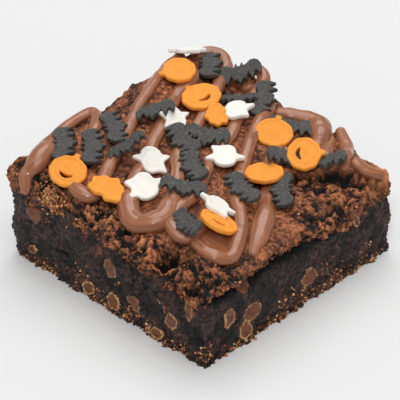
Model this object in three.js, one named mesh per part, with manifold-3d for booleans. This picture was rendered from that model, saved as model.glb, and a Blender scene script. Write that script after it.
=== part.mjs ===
// A square cut of chocolate brownie with piped chocolate drizzle and pressed sugar shapes.
// Millimetres, +Z up. The origin is the middle of the flat base and the sides lie along X and Y.

import * as THREE from "three";
import { mergeVertices } from "three/addons/utils/BufferGeometryUtils.js";
import Module from "manifold-3d";

// Driving sizes
const SIDE = 76;
const HALF = SIDE / 2;
const CORNER_HEIGHT = { left: 29.6, front: 25.2, right: 27, back: 32.6 };
const DOME = 0.8;
const EDGE_DROP = 2.6;
const EDGE_REACH = 3.2;
const CORNER_PULL = 0.01;
const CORNER_POWER = 12; // the higher, the nearer the corner the pull begins
const TURN_POWER = 9; // the same for the direction in which a side faces
const CORNER_FLARE = 1.4; // the left corner leans out towards its top
const FLARE_REACH = 12;
const FOOT = 0.8; // how far the crumbly foot stands out
const FOOT_REACH = 0.08; // its height, as a share of the rim's
const SUGAR_THICKNESS = 1.5;

// How finely the block is divided
const GRID = 28;
const WALL_LEVELS = [0, 0.07, 0.35, 0.62, 0.8, 0.9, 1];

// Soft swells of the crust: height, wavelength, heading in degrees, phase
const SWELLS = [
  [0.5, 31, 20, 0.6],
  [0.4, 19, 75, 2.1],
  [0.35, 13, 130, 4],
  [0.25, 9, 48, 1.2],
];

// Humps and hollows of the crust: x, y, radius, height
const MOUNDS = [
  [-38, 14, 20, 3.2], // the back left rim rises
  [-38, -16, 12, 2.2],
  [-39, 8, 9, 1.4],
  [-38, -31, 7, 2.4],
  [19.5, -33, 3.8, -6.5], // the deep hole by the front corner
  [28, -31.5, 3.4, 2], // the chunk beside it
  [32.5, -35, 3, -2.5],
  [-22, -36.5, 3, -1.2],
  [8, -36.5, 4, -1.4],
  [-8, -36.5, 4, -0.9],
  [34, 34, 4, 1.2],
];

// The flap: a broken edge of crust that stands above a crumbly shelf
const FLAP = { x: 18.5, y: 17, alongX: 12.5, alongY: 14.5 };
const FLAP_DROP = { depth: 2.6, slope: 1.6, startY: -2, fade: 12 };
const FLAP_LIP = { height: 0.9, behind: 2, width: 2.5, startY: 8, fade: 8 };

// Waves of the cut sides: height, wavelength, phase and the phase gained from base to rim
const SIDE_WAVES = [
  [0.35, 17, 1.3, 9],
  [0.25, 7.3, 0.5, -12],
];

// The crease under the crust's overhang. Its level and spread are shares of the rim's height,
// and on the side at the front right it fades between startY and endY.
const CREASE = { depth: 1.9, level: 0.86, spread: 0.07, startY: -38, opens: 6, endY: 12, closes: 14 };
const CREASE_LEFT = 0.35; // how deep it is on the side at the front left, as a share of the other
const SIDE_BAND = 3; // a point this near a side's plane belongs to that side

// Drizzle routes in plan: x, y, half width and, where it stands on another strand, a lift
const DRIZZLE = {
  left: [
    [-30.5, -39.5, 1.2, -2.5], [-32, -37.5, 2], [-32.5, -33, 3.1], [-36, -24, 2.8], [-38, -18, 2.1],
    [-39, -10.5, 2], [-38, -6, 2], [-33, -9.5, 1.9], [-28.5, -16, 1.9], [-22, -27.5, 1.9],
    [-18, -32, 2.1], [-14, -33, 2.5], [-12, -30.5, 2.4], [-15, -24, 2.1], [-21, -11.5, 1.9],
    [-27, -0.5, 1.8], [-32.5, 13, 1.8], [-37.5, 24, 1.8], [-39, 30.5, 1.8],
  ],
  middle: [
    [-38, 28.5, 1.9], [-32.5, 27.5, 2.1], [-27.5, 23, 2.5], [-25, 15, 2.2], [-18, 0.5, 2],
    [-13, -9.5, 2], [-7.5, -19.5, 2.3], [-2, -27, 3], [4.5, -30.5, 3.4], [9, -27, 3.4],
    [8, -21.5, 3], [1, -11, 2.3], [-8.5, -0.5, 2], [-13, 12, 2], [-18, 22.5, 2],
    [-24.5, 34, 2, 0.8], [-27.5, 38, 2, 1.6], [-32, 39.5, 2, 2.3], [-35, 36.5, 1.9, 2],
    [-35, 33.5, 1.8, 1],
  ],
  centre: [
    [-20, 40, 1.9, 4], [-15.5, 40, 2, 4.6], [-12, 37.5, 2, 2.6], [-11, 31.5, 2], [-5, 18.5, 2],
    [-0.5, 9, 1.9], [2, 1, 1.8], [7.5, -9, 1.9], [9.5, -19, 2.3], [12, -24.5, 2.3],
    [17.5, -27, 2.2], [20.5, -24, 2], [16.5, -15, 2.2], [15.5, -11.5, 2.4],
  ],
  right: [
    [-7, 35.5, 1.8], [-4, 31, 1.9], [0.5, 21, 2.1], [9, 7, 2.1], [14.5, -2, 2], [24.5, -10, 2.1],
    [30, -17.5, 2.3], [31.5, -22, 2.4], [28.5, -25.5, 2.4], [22.5, -25.5, 1.8],
  ],
  strip: [
    [-2, 33.5, 1.9], [3, 37, 2.8], [9.5, 38, 3.4], [15.5, 32.5, 2.8], [17, 27, 2.4], [15, 22.5, 2],
    [11.5, 20.5, 2], [11.5, 16, 2], [19, 6.5, 2.2], [26, -2, 3.2], [31, -9.5, 2.9],
    [34.5, -15.5, 1.3],
  ],
  ridge: [[15.5, 37.5, 1.6], [21.5, 28, 1.8], [23.5, 24.5, 1.5]],
  peak: [[17, 39, 1.7, 2.5], [21.5, 36.5, 2.2], [28.5, 28.5, 1.7]],
  corner: [[29, 32, 1.8], [33, 33.5, 2.3], [35, 36, 1.8]],
  heapBack: [[-33, 36, 2.4, -0.4], [-29.5, 37, 2.8, -0.2], [-26, 35.5, 2.4, -0.4]],
  heapSide: [[-22, 36.5, 2.4, -0.3], [-18.5, 37.5, 3, 0.4], [-15.5, 36, 2.6, -0.2]],
};

// How the drizzle is piped
const ROPE_SIDES = 6;
const ROPE_STEP = 3.5;
const ROPE_FLATNESS = 0.85;
const ROPE_REST = 0.35; // height of a strand's middle over the crust, in half widths
const BED_SPAN = 2.5;
const BED_MARGIN = 1.5; // the bed is read at least this far inside the rim
const ROPE_END = 0.6; // how far a rounded end reaches, in half widths

// Sugar shapes in the order they fell: kind, x, y, turn about the vertical, then how far the
// face leans and towards which heading, in degrees, and size
const SUGAR = [
  // the back corner
  ["bat", 5, 31, 30, 10, -30, 1],
  ["ghost", -36.5, 31, 45, 30, 135, 1],
  ["bat", -29.5, 33, 135, 5, -120, 1],
  ["bat", -19.5, 35.5, 45, 30, -90, 1],
  ["bat", -7, 32, 120, 15, -60, 1],
  ["ghost", -7.5, 21.5, 45, 10, -135, 0.95],
  ["bat", -12, 27.5, 45, 15, 150, 0.8],
  ["pumpkin", -30.5, 21.5, 150, 5, -90, 1],
  ["pumpkin", -10, 16, 165, 15, -60, 0.75],
  ["pumpkin", -19, 19, 90, 5, -45, 1.1],
  // the middle of the back
  ["bat", -23.5, 3.5, 45, 15, -120, 1],
  ["bat", -6, 8, 30, 20, -60, 1],
  ["ghost", -17.5, 6.5, 270, 30, 0, 0.85],
  ["bat", -9, 1.5, 345, 15, -90, 1],
  ["bat", 1, -4.5, 330, 10, -120, 1],
  // the left corner
  ["bat", -31.5, -24, 135, 10, -90, 1],
  ["bat", -24.5, -19.5, 135, 10, -60, 1],
  ["bat", -26.5, -9, 150, 5, 0, 1],
  ["bat", -16.5, -13.5, 60, 30, -135, 0.9],
  ["pumpkin", -22, -31, 15, 25, -60, 1],
  ["pumpkin", -9, -28, 30, 15, 0, 1.05],
  // the middle of the front
  ["ghost", -9.5, -10.5, 60, 30, 0, 1],
  ["ghost", -2, -21, 255, 20, -60, 1.05],
  ["bat", 6, -13.5, 45, 15, 30, 1],
  ["ghost", 4, 5, 225, 5, -45, 1],
  // the right corner
  ["bat", 15.5, 18.5, 60, 25, 15, 0.95],
  ["pumpkin", 5.5, 23.5, 30, 20, -45, 1],
  ["bat", 24.5, 25, 30, 20, -135, 0.9],
  ["pumpkin", 19, 21.5, 315, 20, -60, 1],
  ["pumpkin", 15.5, 9, 30, 5, -165, 1],
  ["bat", 17, -1.5, 345, 5, -75, 1],
  ["bat", 23.5, 8, 315, 15, -90, 0.95],
  // the front corner
  ["bat", 17.5, -24, 345, 30, -120, 0.9],
  ["ghost", 18, -12.5, 30, 30, 60, 1],
  ["pumpkin", 23, -17, 30, 25, 60, 1],
];

// Right halves of the outlines, from the top of the middle line to its foot
const BAT = [
  [0, 1.7], [0.9, 3.2], [1.9, 1.9], [4.3, 3.6], [6.6, 1.2],
  [5.7, -1.9], [3.4, -3.2], [2.1, -1.5], [0, -4.1],
];
const GHOST = [
  [0, 4.6], [2, 4], [3.1, 2.1], [5.6, 1.2], [5.2, 0.2], [3.2, -0.8],
  [3.1, -4.2], [1.6, -3.7], [0, -4.6],
];
const PUMPKIN = { across: 5.6, high: 4.9, sides: 18, lobes: 6, lobe: 0.03 };
const STEM = { high: 1.2, foot: 0.9, top: 0.85, lean: 0.15 };

// What each kind covers when it comes to rest: half width and half height
const FOOTPRINT = { bat: [6.2, 3.2], ghost: [4.6, 4], pumpkin: [5.5, 4.8] };

// Resting: a shape is pressed down until this share of its underside clears what is below
const PRESS = 0.82;
const SINK = 0.1;
const MAP_REACH = 46;
const MAP_STEP = 0.5;
const MAP_SIZE = 2 * Math.round(MAP_REACH / MAP_STEP) + 1;
const BLOCK_FLOOR = 10; // lower cells lie beside the block

// Lumps of rubble at the rims of the two sides that meet in the front corner
const RUBBLE = { seed: 7, count: 90, height: 0.7, radius: 2.4, least: 0.6, spread: 0.8, band: 9 };

const MERGE_TOLERANCE = 1e-4;
const TIDY_TOLERANCE = 0.1;

const smooth = (t) => {
  const s = Math.min(1, Math.max(0, t));
  return s * s * (3 - 2 * s);
};
const clamp = (value, limit) => Math.min(limit, Math.max(-limit, value));
const radians = (degrees) => (degrees * Math.PI) / 180;

// Park and Miller's generator, so that each build is the same
function makeRandom(seed) {
  let state = seed;
  return () => {
    state = (state * 16807) % 2147483647;
    return state / 2147483647;
  };
}

function makeRubble() {
  const random = makeRandom(RUBBLE.seed);
  const lumps = [];
  for (let i = 0; i < RUBBLE.count; i += 1) {
    const along = (2 * random() - 1) * HALF;
    const inward = HALF - random() * RUBBLE.band;
    const height = (2 * random() - 1) * RUBBLE.height;
    const radius = RUBBLE.radius * (RUBBLE.least + RUBBLE.spread * random());
    lumps.push(i % 2 ? [inward, along, radius, height] : [along, -inward, radius, height]);
  }
  return lumps;
}
const LUMPS = makeRubble();

function flapHeight(x, y) {
  const length = Math.hypot(FLAP.alongX, FLAP.alongY);
  const ahead = ((x - FLAP.x) * FLAP.alongY - (y - FLAP.y) * FLAP.alongX) / length;
  const dropFade = smooth((y - FLAP_DROP.startY) / FLAP_DROP.fade);
  const drop = FLAP_DROP.depth * smooth(ahead / FLAP_DROP.slope) * dropFade;
  const lipFade = smooth((y - FLAP_LIP.startY) / FLAP_LIP.fade);
  const lip = FLAP_LIP.height * Math.exp(-(((ahead + FLAP_LIP.behind) / FLAP_LIP.width) ** 2));
  return lip * lipFade - drop;
}

// Height of the crust without its rubble
function crust(x, y) {
  const u = Math.min(1, Math.max(0, (x + HALF) / SIDE));
  const v = Math.min(1, Math.max(0, (y + HALF) / SIDE));
  let h = CORNER_HEIGHT.left * (1 - u) * (1 - v) + CORNER_HEIGHT.front * u * (1 - v);
  h += CORNER_HEIGHT.right * u * v + CORNER_HEIGHT.back * (1 - u) * v;
  h += DOME * (1 - (2 * u - 1) ** 2) * (1 - (2 * v - 1) ** 2);
  const edge = Math.max(0, Math.min(HALF - Math.abs(x), HALF - Math.abs(y)));
  h -= EDGE_DROP * Math.exp(-edge / EDGE_REACH);
  for (const [height, wave, heading, phase] of SWELLS) {
    const along = x * Math.cos(radians(heading)) + y * Math.sin(radians(heading));
    h += height * Math.sin((2 * Math.PI * along) / wave + phase);
  }
  h += flapHeight(x, y);
  for (const [cx, cy, radius, height] of MOUNDS) {
    h += height * Math.exp(-((x - cx) ** 2 + (y - cy) ** 2) / radius ** 2);
  }
  return h;
}

function rubble(x, y) {
  let h = 0;
  for (const [cx, cy, radius, height] of LUMPS) {
    h += height * Math.exp(-((x - cx) ** 2 + (y - cy) ** 2) / radius ** 2);
  }
  return h;
}

// How far the cut side stands proud of its plane, at a share t of the rim's height
function wallRelief(x, y, t) {
  let out = FOOT * Math.exp(-t / FOOT_REACH);
  for (const [height, wave, phase, gain] of SIDE_WAVES) {
    out += height * Math.sin((2 * Math.PI * (x + y)) / wave + phase + gain * t);
  }
  const fromLeft = Math.hypot(x + HALF, y + HALF);
  out += CORNER_FLARE * t * Math.exp(-((fromLeft / FLARE_REACH) ** 2));
  const crease = CREASE.depth * Math.exp(-(((t - CREASE.level) / CREASE.spread) ** 2));
  const opening = smooth((y - CREASE.startY) / CREASE.opens);
  const closing = smooth((CREASE.endY - y) / CREASE.closes);
  if (x > HALF - SIDE_BAND) out -= crease * opening * closing;
  if (y < SIDE_BAND - HALF) out -= crease * CREASE_LEFT;
  return out;
}

// A square with slightly pulled-in corners: u and v run from -1 to 1
function planPoint(u, v) {
  return [
    HALF * u * (1 - CORNER_PULL * v ** CORNER_POWER),
    HALF * v * (1 - CORNER_PULL * u ** CORNER_POWER),
  ];
}

function perimeter() {
  const points = [];
  for (let i = 0; i < GRID; i += 1) points.push([(2 * i) / GRID - 1, -1]);
  for (let i = 0; i < GRID; i += 1) points.push([1, (2 * i) / GRID - 1]);
  for (let i = 0; i < GRID; i += 1) points.push([1 - (2 * i) / GRID, 1]);
  for (let i = 0; i < GRID; i += 1) points.push([-1, 1 - (2 * i) / GRID]);
  return points;
}

function closedGeometry(positions, index) {
  const geometry = new THREE.BufferGeometry();
  geometry.setAttribute("position", new THREE.Float32BufferAttribute(positions, 3));
  geometry.setIndex(index);
  return geometry;
}

// The block: rings of wall from the base to the rim, a grid of crust and a flat base
function makeBlock() {
  const rim = perimeter();
  const around = rim.length;
  const positions = [];
  const index = [];
  for (const t of WALL_LEVELS) {
    for (const [u, v] of rim) {
      const [x, y] = planPoint(u, v);
      const out = wallRelief(x, y, t);
      const across = new THREE.Vector2(u ** TURN_POWER, v ** TURN_POWER).normalize();
      positions.push(x + out * across.x, y + out * across.y, t * (crust(x, y) + rubble(x, y)));
    }
  }
  for (let k = 1; k < WALL_LEVELS.length; k += 1) {
    for (let i = 0; i < around; i += 1) {
      const j = (i + 1) % around;
      const low = (k - 1) * around;
      const high = k * around;
      index.push(low + i, low + j, high + j, low + i, high + j, high + i);
    }
  }
  const topStart = (WALL_LEVELS.length - 1) * around;
  const inner = positions.length / 3;
  for (let j = 1; j < GRID; j += 1) {
    for (let i = 1; i < GRID; i += 1) {
      const [x, y] = planPoint((2 * i) / GRID - 1, (2 * j) / GRID - 1);
      positions.push(x, y, crust(x, y) + rubble(x, y));
    }
  }
  const topVertex = (i, j) => {
    if (j === 0 && i < GRID) return topStart + i;
    if (i === GRID && j < GRID) return topStart + GRID + j;
    if (j === GRID && i > 0) return topStart + 3 * GRID - i;
    if (i === 0) return topStart + ((4 * GRID - j) % around);
    return inner + (j - 1) * (GRID - 1) + (i - 1);
  };
  for (let j = 0; j < GRID; j += 1) {
    for (let i = 0; i < GRID; i += 1) {
      const a = topVertex(i, j);
      const b = topVertex(i + 1, j);
      const c = topVertex(i + 1, j + 1);
      const d = topVertex(i, j + 1);
      index.push(a, b, c, a, c, d);
    }
  }
  const middle = positions.length / 3;
  positions.push(0, 0, 0);
  for (let i = 0; i < around; i += 1) index.push(middle, (i + 1) % around, i);
  return closedGeometry(positions, index);
}

// What a strand lies on at one place: the crust there and a little way around, averaged
function bedLevel(x, y) {
  const inside = HALF - BED_MARGIN;
  const spots = [[0, 0], [BED_SPAN, 0], [-BED_SPAN, 0], [0, BED_SPAN], [0, -BED_SPAN]];
  const levels = spots.map(([dx, dy]) => crust(clamp(x + dx, inside), clamp(y + dy, inside)));
  return levels.reduce((sum, level) => sum + level) / spots.length;
}

// Points along a drizzle route, as a smooth curve: x, y, height of the middle, half width
function samplesAlong(route, step) {
  const curve = (pick) => new THREE.CatmullRomCurve3(route.map(pick), false, "catmullrom", 0.5);
  const spine = curve(([x, y, w]) => new THREE.Vector3(x, y, w));
  const lifts = curve(([x, y, , lift = 0]) => new THREE.Vector3(x, y, lift));
  const spans = route.slice(1).map(([x, y], i) => Math.hypot(x - route[i][0], y - route[i][1]));
  const places = [];
  spans.forEach((span, i) => {
    const parts = Math.max(1, Math.round(span / step));
    for (let k = 0; k < parts; k += 1) places.push((i + k / parts) / spans.length);
  });
  places.push(1);
  return places.map((t) => {
    const { x, y, z: w } = spine.getPoint(t);
    return { x, y, z: bedLevel(x, y) + ROPE_REST * w + lifts.getPoint(t).z, w };
  });
}

function ropeRing(samples, i) {
  const before = samples[Math.max(0, i - 1)];
  const after = samples[Math.min(samples.length - 1, i + 1)];
  const heading = Math.atan2(after.y - before.y, after.x - before.x);
  const { x, y, z, w } = samples[i];
  const ring = [];
  for (let k = 0; k < ROPE_SIDES; k += 1) {
    const a = (2 * Math.PI * k) / ROPE_SIDES + Math.PI / 2;
    const side = w * Math.cos(a);
    ring.push([
      x - side * Math.sin(heading),
      y + side * Math.cos(heading),
      z + ROPE_FLATNESS * w * Math.sin(a),
    ]);
  }
  return ring;
}

// One short length of strand between two rings; neighbours share a ring exactly
function strandPiece(ringA, ringB, tipA, tipB) {
  const positions = [...ringA, ...ringB, tipA, tipB].flat();
  const index = [];
  for (let k = 0; k < ROPE_SIDES; k += 1) {
    const next = (k + 1) % ROPE_SIDES;
    const a = k;
    const b = next;
    const c = ROPE_SIDES + next;
    const d = ROPE_SIDES + k;
    index.push(a, b, c, a, c, d);
    index.push(2 * ROPE_SIDES, b, a);
    index.push(2 * ROPE_SIDES + 1, d, c);
  }
  return closedGeometry(positions, index);
}

function makeStrand(route) {
  const samples = samplesAlong(route, ROPE_STEP);
  const rings = samples.map((_, i) => ropeRing(samples, i));
  const last = samples.length - 1;
  const middle = ({ x, y, z }) => [x, y, z];
  const beyond = (from, to) => {
    const gap = Math.hypot(to.x - from.x, to.y - from.y);
    const reach = (ROPE_END * to.w) / gap;
    return [to.x + reach * (to.x - from.x), to.y + reach * (to.y - from.y), to.z];
  };
  const pieces = [];
  for (let i = 0; i < last; i += 1) {
    const tipA = i ? middle(samples[i]) : beyond(samples[1], samples[0]);
    const tipB = i + 1 < last ? middle(samples[i + 1]) : beyond(samples[last - 1], samples[last]);
    pieces.push(strandPiece(rings[i], rings[i + 1], tipA, tipB));
  }
  return pieces;
}

// Heights of whatever lies on top so far, on a square grid of cells
function makeHeightMap() {
  const cells = new Float64Array(MAP_SIZE * MAP_SIZE);
  for (let i = 0; i < MAP_SIZE; i += 1) {
    for (let j = 0; j < MAP_SIZE; j += 1) {
      const x = i * MAP_STEP - MAP_REACH;
      const y = j * MAP_STEP - MAP_REACH;
      if (Math.max(Math.abs(x), Math.abs(y)) <= HALF) cells[i * MAP_SIZE + j] = crust(x, y);
    }
  }
  return cells;
}

function eachCell(x, y, radius, visit) {
  const first = (v) => Math.max(0, Math.floor((v - radius + MAP_REACH) / MAP_STEP));
  const last = (v) => Math.min(MAP_SIZE - 1, Math.floor((v + radius + MAP_REACH) / MAP_STEP) + 1);
  for (let i = first(x); i <= last(x); i += 1) {
    for (let j = first(y); j <= last(y); j += 1) {
      visit(i * MAP_SIZE + j, i * MAP_STEP - MAP_REACH - x, j * MAP_STEP - MAP_REACH - y);
    }
  }
}

function layStrandOnMap(cells, route) {
  for (const { x, y, z, w } of samplesAlong(route, MAP_STEP)) {
    eachCell(x, y, w, (cell, dx, dy) => {
      const room = w * w - dx * dx - dy * dy;
      if (room > 0) cells[cell] = Math.max(cells[cell], z + ROPE_FLATNESS * Math.sqrt(room));
    });
  }
}

// Turn about the vertical, then lean the face towards a heading
function tilt(turn, lean, heading) {
  const axis = new THREE.Vector3(-Math.sin(radians(heading)), Math.cos(radians(heading)), 0);
  const leaned = new THREE.Matrix4().makeRotationAxis(axis, radians(lean));
  return leaned.multiply(new THREE.Matrix4().makeRotationZ(radians(turn)));
}

// Finds the height at which a sugar shape rests, and adds it to the map
function restOnMap(cells, [kind, x, y, turn, lean, heading, size]) {
  const right = new THREE.Vector3();
  const up = new THREE.Vector3();
  const face = new THREE.Vector3();
  tilt(turn, lean, heading).extractBasis(right, up, face);
  const [a, b] = FOOTPRINT[kind].map((half) => half * size);
  const lift = SUGAR_THICKNESS / 2 / face.z;
  const covered = [];
  eachCell(x, y, Math.max(a, b), (cell, dx, dy) => {
    const dz = -(face.x * dx + face.y * dy) / face.z;
    const p = (dx * right.x + dy * right.y + dz * right.z) / a;
    const q = (dx * up.x + dy * up.y + dz * up.z) / b;
    if (p * p + q * q < 1) covered.push([cell, dz]);
  });
  const needed = covered
    .filter(([cell]) => cells[cell] > BLOCK_FLOOR)
    .map(([cell, dz]) => cells[cell] - dz + lift)
    .sort((m, n) => m - n);
  const z = needed[Math.floor(PRESS * needed.length)] - SINK;
  for (const [cell, dz] of covered) cells[cell] = Math.max(cells[cell], z + dz + lift);
  return z;
}

function mirrored(half) {
  const left = half.slice(1, -1).reverse().map(([x, y]) => [-x, y]);
  return [...half, ...left];
}

function pumpkinOutline() {
  const { across, high, sides, lobes, lobe } = PUMPKIN;
  const { foot, top, lean } = STEM;
  const points = [];
  for (let k = 1; k < sides; k += 1) {
    const a = Math.PI / 2 - (2 * Math.PI * k) / sides;
    const r = 1 + lobe * Math.cos(lobes * a);
    points.push([across * r * Math.cos(a), high * r * Math.sin(a)]);
  }
  const tip = high + STEM.high;
  points.push([-foot, high], [lean - top, tip], [lean + top, tip], [foot, high]);
  return points;
}

const OUTLINES = { bat: mirrored(BAT), ghost: mirrored(GHOST), pumpkin: pumpkinOutline() };

function makeSugar(row, z) {
  const [kind, x, y, turn, lean, heading, size] = row;
  const corners = OUTLINES[kind].map(([px, py]) => new THREE.Vector2(px * size, py * size));
  const solidShape = { depth: SUGAR_THICKNESS, bevelEnabled: false };
  const geometry = new THREE.ExtrudeGeometry(new THREE.Shape(corners), solidShape);
  geometry.translate(0, 0, -SUGAR_THICKNESS / 2);
  geometry.applyMatrix4(tilt(turn, lean, heading));
  geometry.translate(x, y, z);
  geometry.deleteAttribute("normal");
  geometry.deleteAttribute("uv");
  return mergeVertices(geometry, MERGE_TOLERANCE);
}

const wasm = await Module();
wasm.setup();

function solidOf(geometry) {
  const vertProperties = Float32Array.from(geometry.getAttribute("position").array);
  const triVerts = Uint32Array.from(geometry.getIndex().array);
  return new wasm.Manifold(new wasm.Mesh({ numProp: 3, vertProperties, triVerts }));
}

function geometryOf(solid) {
  const mesh = solid.getMesh();
  const geometry = new THREE.BufferGeometry();
  geometry.setAttribute("position", new THREE.BufferAttribute(mesh.vertProperties, 3));
  geometry.setIndex(new THREE.BufferAttribute(mesh.triVerts, 1));
  geometry.computeVertexNormals();
  return geometry;
}

// The outer body alone: sealed hollows fill and loose scraps drop
function outerBody(solid) {
  return solid.decompose().sort((a, b) => b.volume() - a.volume())[0];
}

function fuse(geometries) {
  const joined = geometries.map(solidOf).reduce((sum, solid) => sum.add(solid));
  return outerBody(outerBody(joined).simplify(TIDY_TOLERANCE));
}

const routes = Object.values(DRIZZLE);
const heights = makeHeightMap();
routes.forEach((route) => layStrandOnMap(heights, route));
const sugar = SUGAR.map((row) => makeSugar(row, restOnMap(heights, row)));
const pieces = [makeBlock(), ...routes.flatMap(makeStrand), ...sugar];

const CRUMB = new THREE.MeshStandardMaterial({ color: 0x3f3029, roughness: 0.9, metalness: 0 });
const brownie = new THREE.Mesh(geometryOf(fuse(pieces)), CRUMB);
brownie.name = "brownie";

const part = new THREE.Group();
part.add(brownie);
export default part;
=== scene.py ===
"""Chocolate brownie with drizzle and pressed sugar shapes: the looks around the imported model."""

import math

import bmesh
import bpy
import numpy as np
from mathutils import Matrix, Vector, noise


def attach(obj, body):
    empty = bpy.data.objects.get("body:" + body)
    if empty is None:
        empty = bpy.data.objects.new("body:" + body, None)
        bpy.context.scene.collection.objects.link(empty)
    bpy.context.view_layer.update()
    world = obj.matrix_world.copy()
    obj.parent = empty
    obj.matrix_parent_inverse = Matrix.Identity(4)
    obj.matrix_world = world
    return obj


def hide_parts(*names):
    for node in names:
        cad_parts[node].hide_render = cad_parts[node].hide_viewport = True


bl_info = {
    "name": "Chocolate brownie",
    "version": (1, 0, 0),
    "blender": (4, 5, 0),
    "location": "View3D > Sidebar > Brownie",
    "description": "Builds a square of chocolate brownie with drizzle and sugar shapes",
    "category": "Add Mesh",
}

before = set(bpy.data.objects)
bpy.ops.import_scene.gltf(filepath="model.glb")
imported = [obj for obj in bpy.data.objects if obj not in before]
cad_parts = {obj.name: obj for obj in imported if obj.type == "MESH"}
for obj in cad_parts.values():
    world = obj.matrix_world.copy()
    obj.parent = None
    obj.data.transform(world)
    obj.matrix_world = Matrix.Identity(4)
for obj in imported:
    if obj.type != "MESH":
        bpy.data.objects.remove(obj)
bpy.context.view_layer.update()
NODE = "brownie"
BODY = "root"
MM = 0.001

# The form, in millimetres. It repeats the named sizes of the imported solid.

SIDE = 76.0
HALF = SIDE / 2
CORNER_HEIGHT = {"left": 29.6, "front": 25.2, "right": 27.0, "back": 32.6}
DOME = 0.8
EDGE_DROP = 2.6
EDGE_REACH = 3.2
CORNER_PULL = 0.01
CORNER_POWER = 12
TURN_POWER = 9
CORNER_FLARE = 1.4
FLARE_REACH = 12.0
FOOT = 0.8
FOOT_REACH = 0.08
SIDE_WAVES = [(0.35, 17, 1.3, 9), (0.25, 7.3, 0.5, -12)]
SWELLS = [(0.5, 31, 20, 0.6), (0.4, 19, 75, 2.1), (0.35, 13, 130, 4), (0.25, 9, 48, 1.2)]
MOUNDS = [
    (-38, 14, 20, 3.2), (-38, -16, 12, 2.2), (-39, 8, 9, 1.4), (-38, -31, 7, 2.4),
    (19.5, -33, 3.8, -6.5), (28, -31.5, 3.4, 2), (32.5, -35, 3, -2.5), (-22, -36.5, 3, -1.2),
    (8, -36.5, 4, -1.4), (-8, -36.5, 4, -0.9), (34, 34, 4, 1.2),
]

# Routes of the drizzle in plan: x, y, half width and, where it stands on another strand, a lift
DRIZZLE = {
    "left": [
        (-30.5, -39.5, 1.2, -2.5), (-32, -37.5, 2), (-32.5, -33, 3.1), (-36, -24, 2.8), (-38, -18, 2.1),
        (-39, -10.5, 2), (-38, -6, 2), (-33, -9.5, 1.9), (-28.5, -16, 1.9), (-22, -27.5, 1.9),
        (-18, -32, 2.1), (-14, -33, 2.5), (-12, -30.5, 2.4), (-15, -24, 2.1), (-21, -11.5, 1.9),
        (-27, -0.5, 1.8), (-32.5, 13, 1.8), (-37.5, 24, 1.8), (-39, 30.5, 1.8),
    ],
    "middle": [
        (-38, 28.5, 1.9), (-32.5, 27.5, 2.1), (-27.5, 23, 2.5), (-25, 15, 2.2), (-18, 0.5, 2),
        (-13, -9.5, 2), (-7.5, -19.5, 2.3), (-2, -27, 3), (4.5, -30.5, 3.4), (9, -27, 3.4),
        (8, -21.5, 3), (1, -11, 2.3), (-8.5, -0.5, 2), (-13, 12, 2), (-18, 22.5, 2),
        (-24.5, 34, 2, 0.8), (-27.5, 38, 2, 1.6), (-32, 39.5, 2, 2.3), (-35, 36.5, 1.9, 2),
        (-35, 33.5, 1.8, 1),
    ],
    "centre": [
        (-20, 40, 1.9, 4), (-15.5, 40, 2, 4.6), (-12, 37.5, 2, 2.6), (-11, 31.5, 2), (-5, 18.5, 2),
        (-0.5, 9, 1.9), (2, 1, 1.8), (7.5, -9, 1.9), (9.5, -19, 2.3), (12, -24.5, 2.3),
        (17.5, -27, 2.2), (20.5, -24, 2), (16.5, -15, 2.2), (15.5, -11.5, 2.4),
    ],
    "right": [
        (-7, 35.5, 1.8), (-4, 31, 1.9), (0.5, 21, 2.1), (9, 7, 2.1), (14.5, -2, 2), (24.5, -10, 2.1),
        (30, -17.5, 2.3), (31.5, -22, 2.4), (28.5, -25.5, 2.4), (22.5, -25.5, 1.8),
    ],
    "strip": [
        (-2, 33.5, 1.9), (3, 37, 2.8), (9.5, 38, 3.4), (15.5, 32.5, 2.8), (17, 27, 2.4), (15, 22.5, 2),
        (11.5, 20.5, 2), (11.5, 16, 2), (19, 6.5, 2.2), (26, -2, 3.2), (31, -9.5, 2.9),
        (34.5, -15.5, 1.3),
    ],
    "ridge": [(15.5, 37.5, 1.6), (21.5, 28, 1.8), (23.5, 24.5, 1.5)],
    "peak": [(17, 39, 1.7, 2.5), (21.5, 36.5, 2.2), (28.5, 28.5, 1.7)],
    "corner": [(29, 32, 1.8), (33, 33.5, 2.3), (35, 36, 1.8)],
    "heap_back": [(-33, 36, 2.4, -0.4), (-29.5, 37, 2.8, -0.2), (-26, 35.5, 2.4, -0.4)],
    "heap_side": [(-22, 36.5, 2.4, -0.3), (-18.5, 37.5, 3, 0.4), (-15.5, 36, 2.6, -0.2)],
}
ROPE_FLATNESS = 0.85
ROPE_REST = 0.35
ROPE_END = 0.6
BED_SPAN = 2.5
BED_MARGIN = 1.5

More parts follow.
